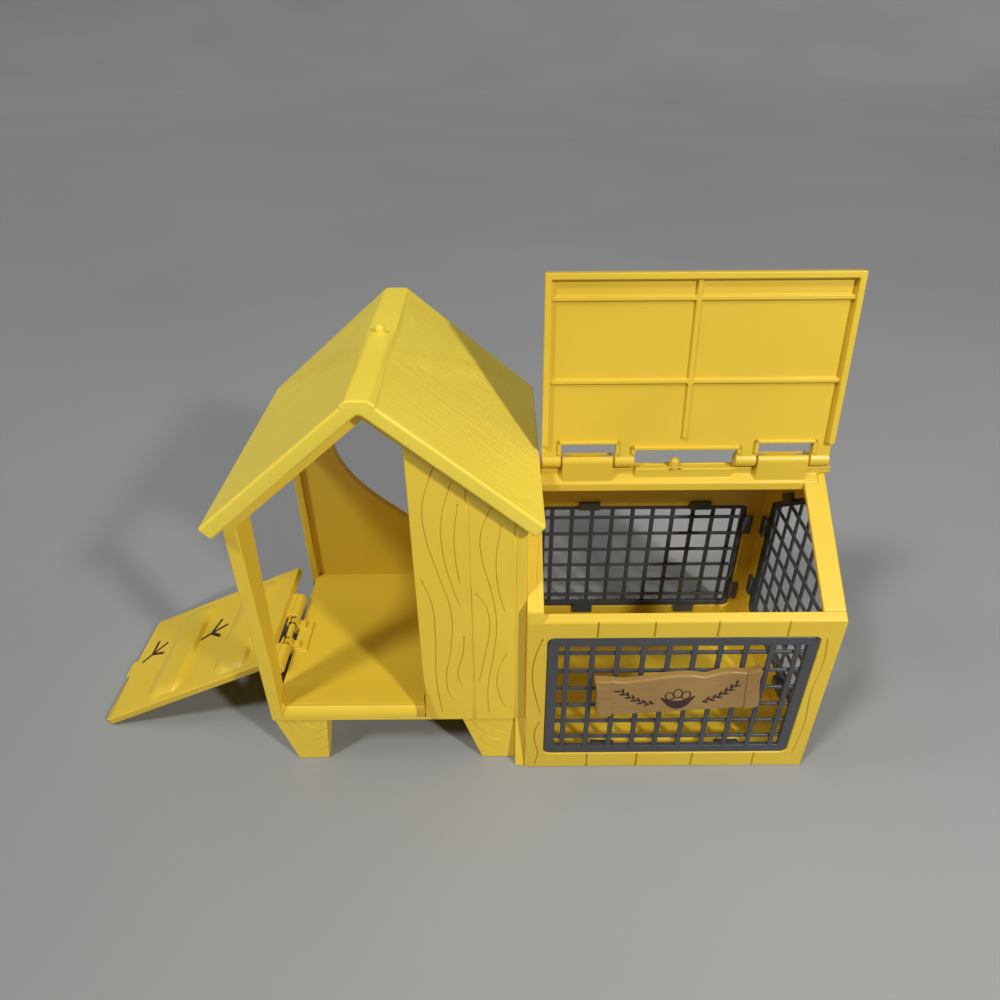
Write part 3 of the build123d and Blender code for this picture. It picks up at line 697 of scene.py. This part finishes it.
def make_run_roof():
    """Rear roof plate with clips whose back jaws are notched, and a domed peg on the ledge."""
    roof = moulded_copy("run_rear_roof", "run_rear_roof_plate")
    y, z = LID_AXIS.y, LID_AXIS.z
    for x0, x1 in LID_CLIPS:
        for left, right in ((x0 - 0.1, x0 + NOTCH_LEFT), (x1 - NOTCH_RIGHT, x1 + 0.1)):
            carve(roof, box("notch", (left, y + 0.6, z - 0.7), (right, y + 4, z + 1)))
    low = (LEDGE_PEG_X - 2, y - 1.9, LEDGE_TOP + 0.02)
    carve(roof, box("clear", low, (LEDGE_PEG_X + 2, y + 2, LEDGE_TOP + 5)))
    round_edges(tidy_faces(roof), 0.42)
    knob = peg("knob", LEDGE_PEG_X, y, LEDGE_TOP - 0.4, PEG_RADIUS, 3.8)
    roof = joined("run_rear_roof_with_peg", [roof, knob])
    return dress(roof, PAINTED_SHADE_YELLOW, "run_rear_roof")


def slot_border(x0, x1, slot, width):
    """Raised border round three sides of a slot in the lid's near edge. It starts a little way
    out, clear of the ridge when the lid is shut."""
    face, root = -LID_SKIN - BORDER_RISE, -LID_SKIN + 0.3
    left, right, end = x0 - width, x1 + width, slot + width
    spans = [(left, right, slot), (left, left + width, BORDER_START), (x1, right, BORDER_START)]
    return [rounded_box("border", (low, face, start), (high, root, end), BORDER_ROUNDING, LID_PLACE)
            for low, high, start in spans]


def make_lid():
    lid = round_edges(moulded_copy("run_lid", "lid_panel"), 0.35)
    borders = []
    for x0, x1 in LID_CLIPS:
        borders += slot_border(x0 - 0.5, x1 + 0.5, LID_CLIP_SLOT, 1.2)
    borders += slot_border(*LEDGE, LEDGE_SLOT, 1.4)
    lid = joined("lid_panel_with_borders", [lid] + borders)
    return dress(lid, PAINTED_SHADE_YELLOW, "run_lid", body="lid")


# Grilles

GRILLE_PITCH = 8.2
GRILLE_RECESS = 0.2
GRILLE_BORDER = 3.7
UPRIGHT_WIDTH, UPRIGHT_DEPTH = 1.8, 0.8
CROSS_WIDTH, CROSS_DEPTH = 1.4, 1.0
WINDOW_OVERLAP, BAR_OVERLAP = 0.03, 0.6


def square_window(inset):
    half, low, high = RUN_WIDTH / 2 - 6.6 - inset, 7.5 + inset, RUN_EAVE - 6.8 - inset
    return [(-half, low), (half, low), (half, high), (-half, high)]


def gable_window(inset):
    half, low = RUN_DEPTH / 2 - 9.0 - inset, 13.5 + inset
    drop = 7.5 + inset / cos(RUN_PITCH)
    shoulder = RUN_RIDGE - RUN_SLOPE * half - drop
    return [(-half, low), (half, low), (half, shoulder), (0, RUN_RIDGE - drop), (-half, shoulder)]


def bar_row(name, window, upright, place):
    """Row of bars over a window, either standing in front or lying behind. In a gabled window
    the bars end on the gable's slopes."""
    us, vs = [u for u, v in window], [v for u, v in window]
    gabled = len(window) > 4
    shoulder = vs[2]
    if upright:
        across, low, high, base = us, 0.0, max(vs) - min(vs), min(vs)
        width, depth, level = UPRIGHT_WIDTH, UPRIGHT_DEPTH, -GRILLE_RECESS - UPRIGHT_DEPTH / 2
    else:
        across, low, high, base = vs, min(us), max(us), 0.0
        width, depth = CROSS_WIDTH, CROSS_DEPTH
        level = -GRILLE_RECESS - UPRIGHT_DEPTH - CROSS_DEPTH / 2 + 0.05
    count = round((max(across) - min(across)) / GRILLE_PITCH)
    first = (min(across) + max(across) - (count - 1) * GRILLE_PITCH) / 2
    longest, reach = (-first, 0.0) if upright else (0.0, shoulder - first)
    rate = RUN_SLOPE / high if upright else 1 / (RUN_SLOPE * high)
    values = {
        "Bar Count": count, "Pitch": GRILLE_PITCH * MM, "Bar Start": low * MM,
        "Bar End": high * MM, "Longest At": longest * MM, "Full Length Reach": reach * MM,
        "Taper Rate": rate / MM if gabled else 0.0, "Bar Width": width * MM,
        "Bar Depth": depth * MM, "Finish": GRILLE_GREY,
    }
    lying = Matrix(((0, 1, 0, 0), (1, 0, 0, 0), (0, 0, -1, 0), (0, 0, 0, 1)))
    start = Vector((first, base, level) if upright else (base, first, level))
    spot = place @ Matrix.Translation(start) @ (LEVEL if upright else lying)
    bars = grow(name, bpy.data.meshes.new(name), BAR_ROWS, BAR_INPUTS, values, spot)
    return tidy_faces(bars, outward=True)


def make_grille(node, name, window_of, place):
    """Grille with its frame and hooks from the solid, and rounded bars in its window."""
    grille = moulded_copy(node, name, flat=0)
    carve(grille, outline_prism("window", window_of(GRILLE_BORDER - WINDOW_OVERLAP), -4, 3, place))
    round_edges(tidy_faces(grille, flat=0), 0.3, 2)
    reach = window_of(GRILLE_BORDER - BAR_OVERLAP)
    bars = [bar_row("uprights", reach, True, place), bar_row("crosses", reach, False, place)]
    grille = joined(name + "_mesh", [grille] + bars)
    return dress(grille, GRILLE_GREY, node, slot="grille_plastic")


def make_grilles():
    make_grille("front_grille", "front_grille_frame", square_window, FRONT_FACE)
    make_grille("rear_grille", "rear_grille_frame", square_window, BACK_FACE)
    make_grille("side_grille", "side_grille_frame", gable_window, RIGHT_FACE)


# Sign, drawn flat from the middle of its lower edge

SIGN_WIDTH, SIGN_HEIGHT, SIGN_TILT = 54.2, 16.8, 4.5
SIGN_CAP_WIDTH = 5.1
SIGN_LOW, SIGN_FACE, SIGN_CAP_FACE = 0.3, 2.7, 3.2
SIGN_BOARD_ROUND, SIGN_CAP_ROUND, SIGN_LIP = 0.75, 0.6, 0.6
SIGN_TOP_WAVE = (16.6, 15.6, 15.9, 16.4, 17.0, 17.1, 16.9, 15.9, 17.1, 17.3, 16.5)
SIGN_MIDDLE = FRONT_FACE @ Matrix.Translation((0.1, 40.8, 0))
SIGN_TURN = Matrix.Rotation(radians(SIGN_TILT), 4, "Z")
SIGN_PLACE = SIGN_MIDDLE @ SIGN_TURN @ Matrix.Translation((0, -SIGN_HEIGHT / 2, 0))


def make_sign():
    half = SIGN_WIDTH / 2
    inner = half - SIGN_CAP_WIDTH
    step = 2 * inner / (len(SIGN_TOP_WAVE) - 1)
    knots = [(-inner + i * step, rise) for i, rise in enumerate(SIGN_TOP_WAVE)]
    wave = [tuple(p) for p in flowing(knots)]
    end = inner + SIGN_LIP
    board = [(-end, 0.1), (0, 0.0), (end, 0.1), (end, wave[-1][1] - 0.1)]
    board += [*reversed(wave), (-end, wave[0][1])]
    left = [(-half + 1.3, 0.0), (-inner, 0.0), (-inner + 0.1, 8), (-inner, 16.6),
            (-half + 2.6, 16.9), (-half, 17.3), (-half + 0.25, 13), (-half + 0.15, 8.0),
            (-half, 2.6)]
    right = [(inner, 0.0), (half - 1.6, 0.0), (half, 1.1), (half - 0.1, 4), (half - 0.5, 8.2),
             (half - 0.75, 13), (half - 0.1, 17.0), (half - 1.3, 18.4), (half - 2.6, 17.4),
             (inner, 16.5), (inner - 0.1, 8)]
    caps = [cushioned_plate("cap", cap, SIGN_LOW, SIGN_CAP_FACE, SIGN_CAP_ROUND, SIGN_PLACE)
            for cap in (left, right)]
    front = SIGN_PLACE @ Matrix.Translation((0, 0, SIGN_CAP_FACE))
    engrave(caps[0], [[(-half - 1, 8.6), (-inner - 0.5, 8.9)]], 0.7, front)
    engrave(caps[1], [[(inner + 0.8, 8.6), (half + 1, 8.3)]], 0.6, front)
    plate = cushioned_plate("plate", board, SIGN_LOW, SIGN_FACE, SIGN_BOARD_ROUND, SIGN_PLACE)
    feet = []
    for u in (-2.5 * GRILLE_PITCH, 2.5 * GRILLE_PITCH):
        bottom = tan(radians(SIGN_TILT)) * u - 4.0
        low, high = (u - 1.6, bottom, -GRILLE_RECESS), (u + 1.4, bottom + 8.0, SIGN_LOW + 1)
        feet.append(box("foot", low, high, SIGN_MIDDLE))
    sign = joined("sign_plank", [plate, *caps, *feet])
    dress(sign, SIGN_TAN, "sign_board", slot="sign_plastic")
    make_sign_print()


def egg_line(u, v, long, wide, lean):
    """Closed egg outline whose blunt end looks back along its lean."""
    line = []
    for i in range(13):
        a = 2 * pi * i / 12
        x, y = long / 2 * cos(a), wide / 2 * sin(a) * (1 - 0.14 * cos(a))
        line.append((u + x * cos(lean) - y * sin(lean),
                     v + x * sin(lean) + y * cos(lean)))
    return line


def make_sign_print():
    """Nest with three eggs between two wheat ears, printed flat on the board."""
    spot = SIGN_PLACE @ Matrix.Translation((0, 0, SIGN_FACE + 0.01))
    flat = 0.12
    nest = []
    for k in range(6):
        drop, reach = 0.62 * k, 5.6 - 0.42 * k
        bowl = ((-reach, 7.2), (-reach * 0.5, 5.6), (0, 5.1), (reach * 0.5, 5.6), (reach, 7.2))
        nest.append([(u, v - drop) for u, v in bowl])
    eggs = [egg_line(-2.7, 8.0, 3.6, 2.8, 1.9), egg_line(2.7, 8.0, 3.6, 2.8, 1.2),
            egg_line(0, 9.0, 4.0, 3.0, 1.57)]
    stem = ((8.0, 4.6), (11.5, 5.6), (15.5, 8.4), (18.8, 11.6))
    stems = [[(side * u, v) for u, v in stem] for side in (-1, 1)]
    grains = {"Grain Count": 12, "Grain Length": 2.3 * MM, "Grain Width": 0.95 * MM,
              "Spread Angle": 0.62, "Finish": PRINT_BROWN}
    pieces = [
        strokes("nest", nest, 0.85, PRINT_BROWN, spot, 0.7, 8, flat),
        strokes("eggs", eggs, 0.55, PRINT_BROWN, spot, 0.5, 8, flat),
        strokes("stems", stems, 0.4, PRINT_BROWN, spot, 0.8, 8, flat),
        grow("ears", lines_curve("ears", stems), EARS, EAR_INPUTS, grains, spot, flat),
    ]
    dress(joined("sign_print", pieces), PRINT_BROWN, slot="sign_plastic")


# House

HOUSE_GROOVES = [[(-67.6, 21), (-67.6, 124)], [(-53.6, 21), (-53.6, 112)]]
HOUSE_GROOVE, HOUSE_GROOVE_DEEPENING, HOUSE_GRAIN_DEEPENING = 1.15, 0.85, 1.6
HOUSE_GRAIN = [
    [(-76.2, 126.2), (-80.3, 113.0), (-80.1, 101.5), (-77.1, 87.6), (-73.8, 71.8), (-74.4, 57.7),
     (-76.6, 40.5), (-75.1, 33.0), (-71.5, 30.2)],
    [(-71.7, 120.9), (-75.0, 109.2), (-75.3, 95.9), (-73.0, 82.5), (-70.8, 74.1)],
    [(-70.2, 113.3), (-71.7, 102.2), (-71.6, 92.6), (-70.8, 84.2)],
    [(-82.3, 85.3), (-79.7, 75.5), (-79.3, 62.6), (-80.0, 42.6), (-78.8, 25.3)],
    [(-70.1, 62.0), (-70.7, 53.7), (-72.8, 44.6), (-71.1, 37.8)],
    [(-60.4, 112.8), (-64.0, 102.2), (-63.6, 92.5), (-61.1, 80.6), (-59.6, 67.1), (-60.8, 52.6),
     (-62.8, 37.2), (-62.6, 25.1)],
    [(-57.9, 106.0), (-59.5, 92.5), (-58.8, 80.6), (-56.8, 71.7)],
    [(-66.0, 80.0), (-62.6, 73.5), (-61.9, 64.3), (-63.6, 52.7), (-65.9, 39.9)],
    [(-56.3, 54.4), (-59.4, 44.5), (-59.1, 35.0), (-56.4, 26.9)],
]


def make_house_front_wall():
    """Front wall with a full round along its sill, plank grooves and grain lines. The lines are
    cut in three sets, so that neighbours never meet in one cut."""
    wall = moulded_copy("house_front_wall", "house_front_panel")
    depth, drop = SILL_ROUND_DEPTH, SILL_ROUND_DROP
    cove = []
    for k in range(11):
        a = pi / 2 * k / 10
        cove.append((HOUSE_FRONT + depth * (1 - cos(a)), SILL_TOP - drop * (1 - sin(a))))
    cove += [(HOUSE_FRONT + depth, SILL_TOP + 1), (HOUSE_FRONT - 1, SILL_TOP + 1)]
    cove.append((HOUSE_FRONT - 1, SILL_TOP - drop))
    along_x = Matrix(((0, 0, 1, 0), (1, 0, 0, 0), (0, 1, 0, 0), (0, 0, 0, 1)))
    carve(wall, outline_prism("cove", cove, SILL_LEFT, SILL_RIGHT, along_x))
    round_edges(tidy_faces(wall, flat=0), 0.45)
    engrave(wall, HOUSE_GROOVES, HOUSE_GROOVE, HOUSE_FACE, STRAIGHT_SPACING, HOUSE_GROOVE_DEEPENING)
    for first in range(3):
        lines = HOUSE_GRAIN[first::3]
        engrave(wall, lines, GRAIN_LINE, HOUSE_FACE, deepening=HOUSE_GRAIN_DEEPENING)
    return dress(wall, YELLOW, "house_front_wall")


def make_house_walls():
    """Plain left wall, and back wall with plank grooves and grain lines that clear the heart."""
    planks = [[(x, 21), (x, 60 if 70 < x < 118 else 150)] for x in (61, 78, 94.3, 111, 128)]
    grain = [
        [(56, 26), (54, 40), (56, 55), (53, 72), (55, 90)],
        [(65, 24), (68, 36), (66, 48), (64, 58)],
        [(86, 24), (84, 33), (87, 42), (86, 50)],
        [(102, 26), (104, 36), (101, 46), (103, 54)],
        [(120, 24), (123, 40), (120, 52), (124, 68), (125, 84)],
        [(134, 28), (132, 46), (135, 62), (133, 80), (134, 94)],
    ]
    make_panel("house_back_wall", "house_back_panel", 0.45, YELLOW,
               (planks, PLANK_GROOVE, HOUSE_REAR, STRAIGHT_SPACING),
               (grain, GRAIN_LINE, HOUSE_REAR))
    make_panel("house_left_wall", "house_left_board", 0.4, YELLOW)


ROOF_GRAIN = {
    "Line Count": 62, "Spacing": 1.45 * MM, "Line Length": (ROOF_SLOPE_LENGTH - 4) * MM,
    "Waviness": 7.0 * MM, "Shortest": 0.35, "Stroke Width": 0.34 * MM, "Sides": 6,
}
ROOF_GRAIN_INSET, ROOF_GRAIN_DEEPENING = 1.5, 1.2
ROOF_ROUNDING, STEP_ROUNDING, STEP_WRAP = 1.0, 0.6, 1.2


def make_house_roof():
    """Roof with fine grain lines down both slopes, and a smooth step with a peg on its ridge."""
    slab = pressed_flat(moulded_copy("house_roof", "house_roof_slab"), LEVEL, ROOF_RIDGE)
    roof = round_edges(tidy_faces(slab), ROOF_ROUNDING)
    flow, rise, inset = cos(ROOF_PITCH), sin(ROOF_PITCH), ROOF_GRAIN_INSET
    for side, seed, start in ((1, 11, ROOF_BACK - inset), (-1, 7, ROOF_FRONT + inset)):
        x = ROOF_MIDDLE + side * (ROOF_HALF_FLAT + inset * flow)
        origin = (x, start, ROOF_RIDGE - inset * rise)
        place = face_place(origin, (side * rise, 0, flow), (side * flow, 0, -rise))
        engrave_grain(roof, place, {**ROOF_GRAIN, "Seed": seed}, ROOF_GRAIN_DEEPENING)
    tangent = tan(ROOF_PITCH)
    half, high = ROOF_HALF_FLAT - RIDGE_STEP / tangent, ROOF_RIDGE + RIDGE_STEP
    wide, side = ROOF_HALF_FLAT + STEP_WRAP, ROOF_RIDGE + 0.03 - STEP_WRAP * tangent
    outline = [(-wide, side - 1), (wide, side - 1), (wide, side), (half, high), (-half, high),
               (-wide, side)]
    back = ROOF_FRONT + RIDGE_STEP_END
    along_y = Matrix(((1, 0, 0, ROOF_MIDDLE), (0, 0, -1, 0), (0, 1, 0, 0), (0, 0, 0, 1)))
    step = outline_prism("step", outline, -back, -ROOF_FRONT - 0.02, along_y)
    round_edges(tidy_faces(step, outward=True), STEP_ROUNDING, 4)
    knob = peg("ridge_peg", ROOF_MIDDLE, back, ROOF_RIDGE - 0.3, PEG_RADIUS, 3.25)
    roof = joined("house_roof_with_step", [roof, step, knob])
    return dress(roof, PAINTED_LIGHT_ROOF_YELLOW, "house_roof")


def make_legs():
    """Legs with curved grain on their outer faces."""
    left_rings = [
        [(-134.6, 20.5), (-131.5, 13.5), (-126.5, 10.2), (-121.5, 12.5)],
        [(-132.0, 21.0), (-129.5, 16.0), (-125.5, 13.8), (-121.5, 16.2)],
        [(-129.0, 21.2), (-127.0, 18.3), (-124.5, 17.3), (-121.8, 19.4)],
        [(-130.8, 8.2), (-127.5, 5.6), (-124.0, 5.4), (-121.8, 7.0)],
    ]
    right_streaks = [
        [(-69.0, 20.6), (-65.8, 15.0), (-62.0, 11.2), (-57.8, 9.4)],
        [(-65.0, 21.0), (-62.2, 17.0), (-59.0, 14.4), (-56.6, 13.6)],
        [(-66.0, 11.0), (-63.5, 7.2), (-60.0, 4.6), (-57.2, 3.8)],
    ]
    leg_line = 0.5
    for node in ("leg_front_left", "leg_front_right", "leg_rear_left", "leg_rear_right"):
        leg = round_edges(moulded_copy(node, node.replace("leg", "foot")), 0.5)
        grain = left_rings if node.endswith("left") else right_streaks
        front = node.startswith("leg_front")
        lines = grain if front else [[(-x, z) for x, z in line] for line in grain]
        face = (HOUSE_FACE if front else HOUSE_REAR) @ Matrix.Translation((0, 0, -LEG_INSET))
        engrave(leg, lines, leg_line, face)
        dress(leg, YELLOW, node)


# Ramp

CLEAT_STARTS = (11.8, 42.7)
CLEAT_WIDTH, CLEAT_HEIGHT, CLEAT_END = 16.0, 1.68, 5.5
CLEAT_CLIMB, CLEAT_DESCENT, CLEAT_NARROWING, CLEAT_CENTRE = 0.09, 0.34, 0.34, 0.46
FOOTPRINT_STROKE, FOOTPRINT_RISE = 1.45, 0.07


def cleat_pad(start):
    """Broad cleat with a steep uphill side, a flat top, a sloping downhill side and domed ends."""
    along, across = 40, 80
    front, back = RAMP_FRONT + 2.7, RAMP_BACK - 2.7
    points, faces = [], []
    for i in range(along + 1):
        u = i / along
        rise = min(1.0, u / CLEAT_CLIMB, (1.0 - u) / CLEAT_DESCENT)
        crest = 1 - (1 - rise) ** 1.6
        for j in range(across + 1):
            y = front + (back - front) * (1 - cos(pi * j / across)) / 2
            inset = min(y - front, back - y)
            dome = sin(pi / 2 * min(1.0, inset / CLEAT_END)) ** 0.75
            narrow = 1 - CLEAT_NARROWING * max(0.0, 1 - inset / 4.0) ** 2
            x = -(start + CLEAT_WIDTH * (CLEAT_CENTRE + (u - CLEAT_CENTRE) * narrow))
            points.append((x, y, RAMP_TOP - 0.05 + CLEAT_HEIGHT * crest * dome))
    row = across + 1
    for i in range(along):
        for j in range(across):
            a = i * row + j
            faces.append((a, a + row, a + row + 1, a + 1))
    rim = list(range(row)) + [i * row + across for i in range(1, along + 1)]
    rim += [along * row + j for j in reversed(range(across))]
    rim += [i * row for i in reversed(range(1, along))]
    base, count = len(points), len(rim)
    points += [(points[k][0], points[k][1], RAMP_TOP - 0.6) for k in rim]
    for k in range(count):
        after = (k + 1) % count
        faces.append((rim[k], rim[after], base + after, base + k))
    faces.append(tuple(base + k for k in reversed(range(count))))
    return tidy_faces(piece_from("cleat", points, faces, RAMP_PLACE), outward=True, flat=0)


def footprint(x, y, turn):
    """Bird's footprint: a heel stroke and three toes from one middle."""
    toes = ((180, 5.0), (50, 7.7), (-4, 7.6), (-55, 6.9))
    lines = []
    for angle, length in toes:
        a = radians(angle + turn)
        u, v = length * cos(a), length * sin(a)
        lines.append([(x, y), (x + 0.5 * u, y + 0.5 * v), (x + u, y + v)])
    return lines


def make_ramp():
    ramp = tidy_faces(pressed_flat(moulded_copy("ramp", "ramp_board"), RAMP_PLACE, RAMP_TOP))
    round_edges(ramp, 0.45)
    edge_lines = []
    for shift, start, stop in ((1.5, -74.5, -30.0), (2.3, -70.0, -8.0)):
        y = RAMP_FRONT + shift
        edge_lines.append([(start, y), ((start + stop) / 2, y + 0.35), (stop, y - 0.1)])
    spot = RAMP_PLACE @ Matrix.Translation((0, 0, RAMP_TOP))
    engrave(ramp, edge_lines, 0.34, spot, 3)
    ramp = joined("ramp_with_cleats", [ramp] + [cleat_pad(start) for start in CLEAT_STARTS])
    dress(ramp, PAINTED_SHADE_YELLOW, "ramp", body="ramp")
    marks = footprint(-68.6, 12.4, 40) + footprint(-37.9, 11.4, 20)
    tapering = (1.5, 1.05, 0.5)
    prints = strokes("footprints", marks, FOOTPRINT_STROKE, PRINT_BROWN, spot, 0.8, 10,
                     FOOTPRINT_RISE, tapering)
    dress(prints, PRINT_BROWN, body="ramp")


# Camera, light and floor

VIEW_FROM = Vector((-58.07, -209.46, 230.37))
VIEW_LENS = 26.65
VIEW_PITCH, VIEW_YAW, VIEW_ROLL = radians(33.74), radians(-0.03), radians(-0.43)
FLOOR_SIDES, FLOOR_REACH, FLOOR_SWEEP = 96, 2500, 1500


def make_camera():
    """Camera at the photograph's place: it looks down by its pitch, along +Y."""
    pitch, yaw, roll = VIEW_PITCH, VIEW_YAW, VIEW_ROLL
    flat = cos(pitch)
    ahead = Vector((sin(yaw) * flat, cos(yaw) * flat, -sin(pitch)))
    level = Vector((cos(yaw), -sin(yaw), 0))
    upward = level.cross(ahead)
    right = cos(roll) * level + sin(roll) * upward
    top = -sin(roll) * level + cos(roll) * upward
    lens = bpy.data.cameras.new("camera")
    lens.lens = VIEW_LENS
    lens.sensor_width = 36.0
    lens.clip_start = 0.01
    lens.clip_end = 200.0
    camera = add_object("camera", lens)
    turn = Matrix((right, top, -ahead)).transposed().to_4x4()
    camera.matrix_world = Matrix.Translation(VIEW_FROM * MM) @ turn
    bpy.context.scene.camera = camera


def lamp_holder(name, kind, azimuth, elevation, power, colour):
    """Lamp that looks at the coop from a direction given in degrees."""
    a, e = radians(azimuth), radians(elevation)
    outward = Vector((cos(a) * cos(e), sin(a) * cos(e), sin(e)))
    lamp = bpy.data.lights.new(name, kind)
    lamp.energy = power
    lamp.color = colour
    holder = add_object(name, lamp)
    holder.rotation_euler = outward.to_track_quat("Z", "Y").to_euler()
    return holder, outward


def make_window(name, azimuth, elevation, spread, power, colour=(1, 1, 1)):
    """Far window: even light with shadows softened by its spread in degrees."""
    holder, outward = lamp_holder(name, "SUN", azimuth, elevation, power, colour)
    holder.data.angle = radians(spread)


def make_desk_lamp(name, azimuth, elevation, distance, size, power, colour=(1, 1, 1)):
    """Round lamp close by, whose light falls off across the scene."""
    holder, outward = lamp_holder(name, "AREA", azimuth, elevation, power, colour)
    holder.data.shape = "DISK"
    holder.data.size = size
    holder.location = Vector((-0.05, 0.0, 0.06)) + distance * outward


def make_light():
    make_desk_lamp("near right lamp", -52, 36, 0.75, 0.06, 3.1, (1.0, 0.98, 0.94))
    make_window("left window", -140, 52, 9, 1.25, (0.98, 0.99, 1.0))
    make_window("far left window", -178, 42, 20, 0.45, (0.98, 0.99, 1.0))
    make_window("ceiling light", 0, 88, 50, 0.55)
    world = bpy.data.worlds.new("studio")
    world.use_nodes = True
    glow = world.node_tree.nodes["Background"].inputs
    glow["Color"].default_value = (0.95, 0.97, 1.0, 1)
    glow["Strength"].default_value = 0.04
    bpy.context.scene.world = world
    bpy.context.scene.view_settings.view_transform = "Standard"


def make_floor():
    """Wide round floor that sweeps up far away, so that no horizon shows."""
    rings = [(r, 0.0) for r in (60, 300, 900, FLOOR_REACH)]
    for a in (0.2, 0.4, 0.6, 0.8, 1.0):
        rings.append((FLOOR_REACH + FLOOR_SWEEP * sin(a), FLOOR_SWEEP * (1 - cos(a))))
    sides = FLOOR_SIDES
    turns = [2 * pi * i / sides for i in range(sides)]
    points = [(r * cos(t), r * sin(t), z) for r, z in rings for t in turns]
    faces = [tuple(range(sides))]
    for a in range(0, (len(rings) - 1) * sides, sides):
        for i in range(sides):
            b = a + (i + 1) % sides
            faces.append((a + i, a + sides + i, b + sides, b))
    floor = smooth(piece_from("floor", points, faces))
    finish, tree, shader, places = new_finish("pale grey floor")
    tone = noise_on(tree, places, 3.0, 2.0)
    colour = blend_of(tree, tone, (0.30, 0.305, 0.30), (0.33, 0.335, 0.33))
    fed(tree, shader, {"Base Color": colour, "Roughness": 0.9})
    floor.data.materials.append(finish)


for make in (
    make_camera, make_light, make_floor, make_run_walls, make_plain_panels, make_run_roof,
    make_lid, make_grilles, make_sign, make_house_front_wall, make_house_walls,
    make_house_roof, make_legs, make_ramp,
):
    make()
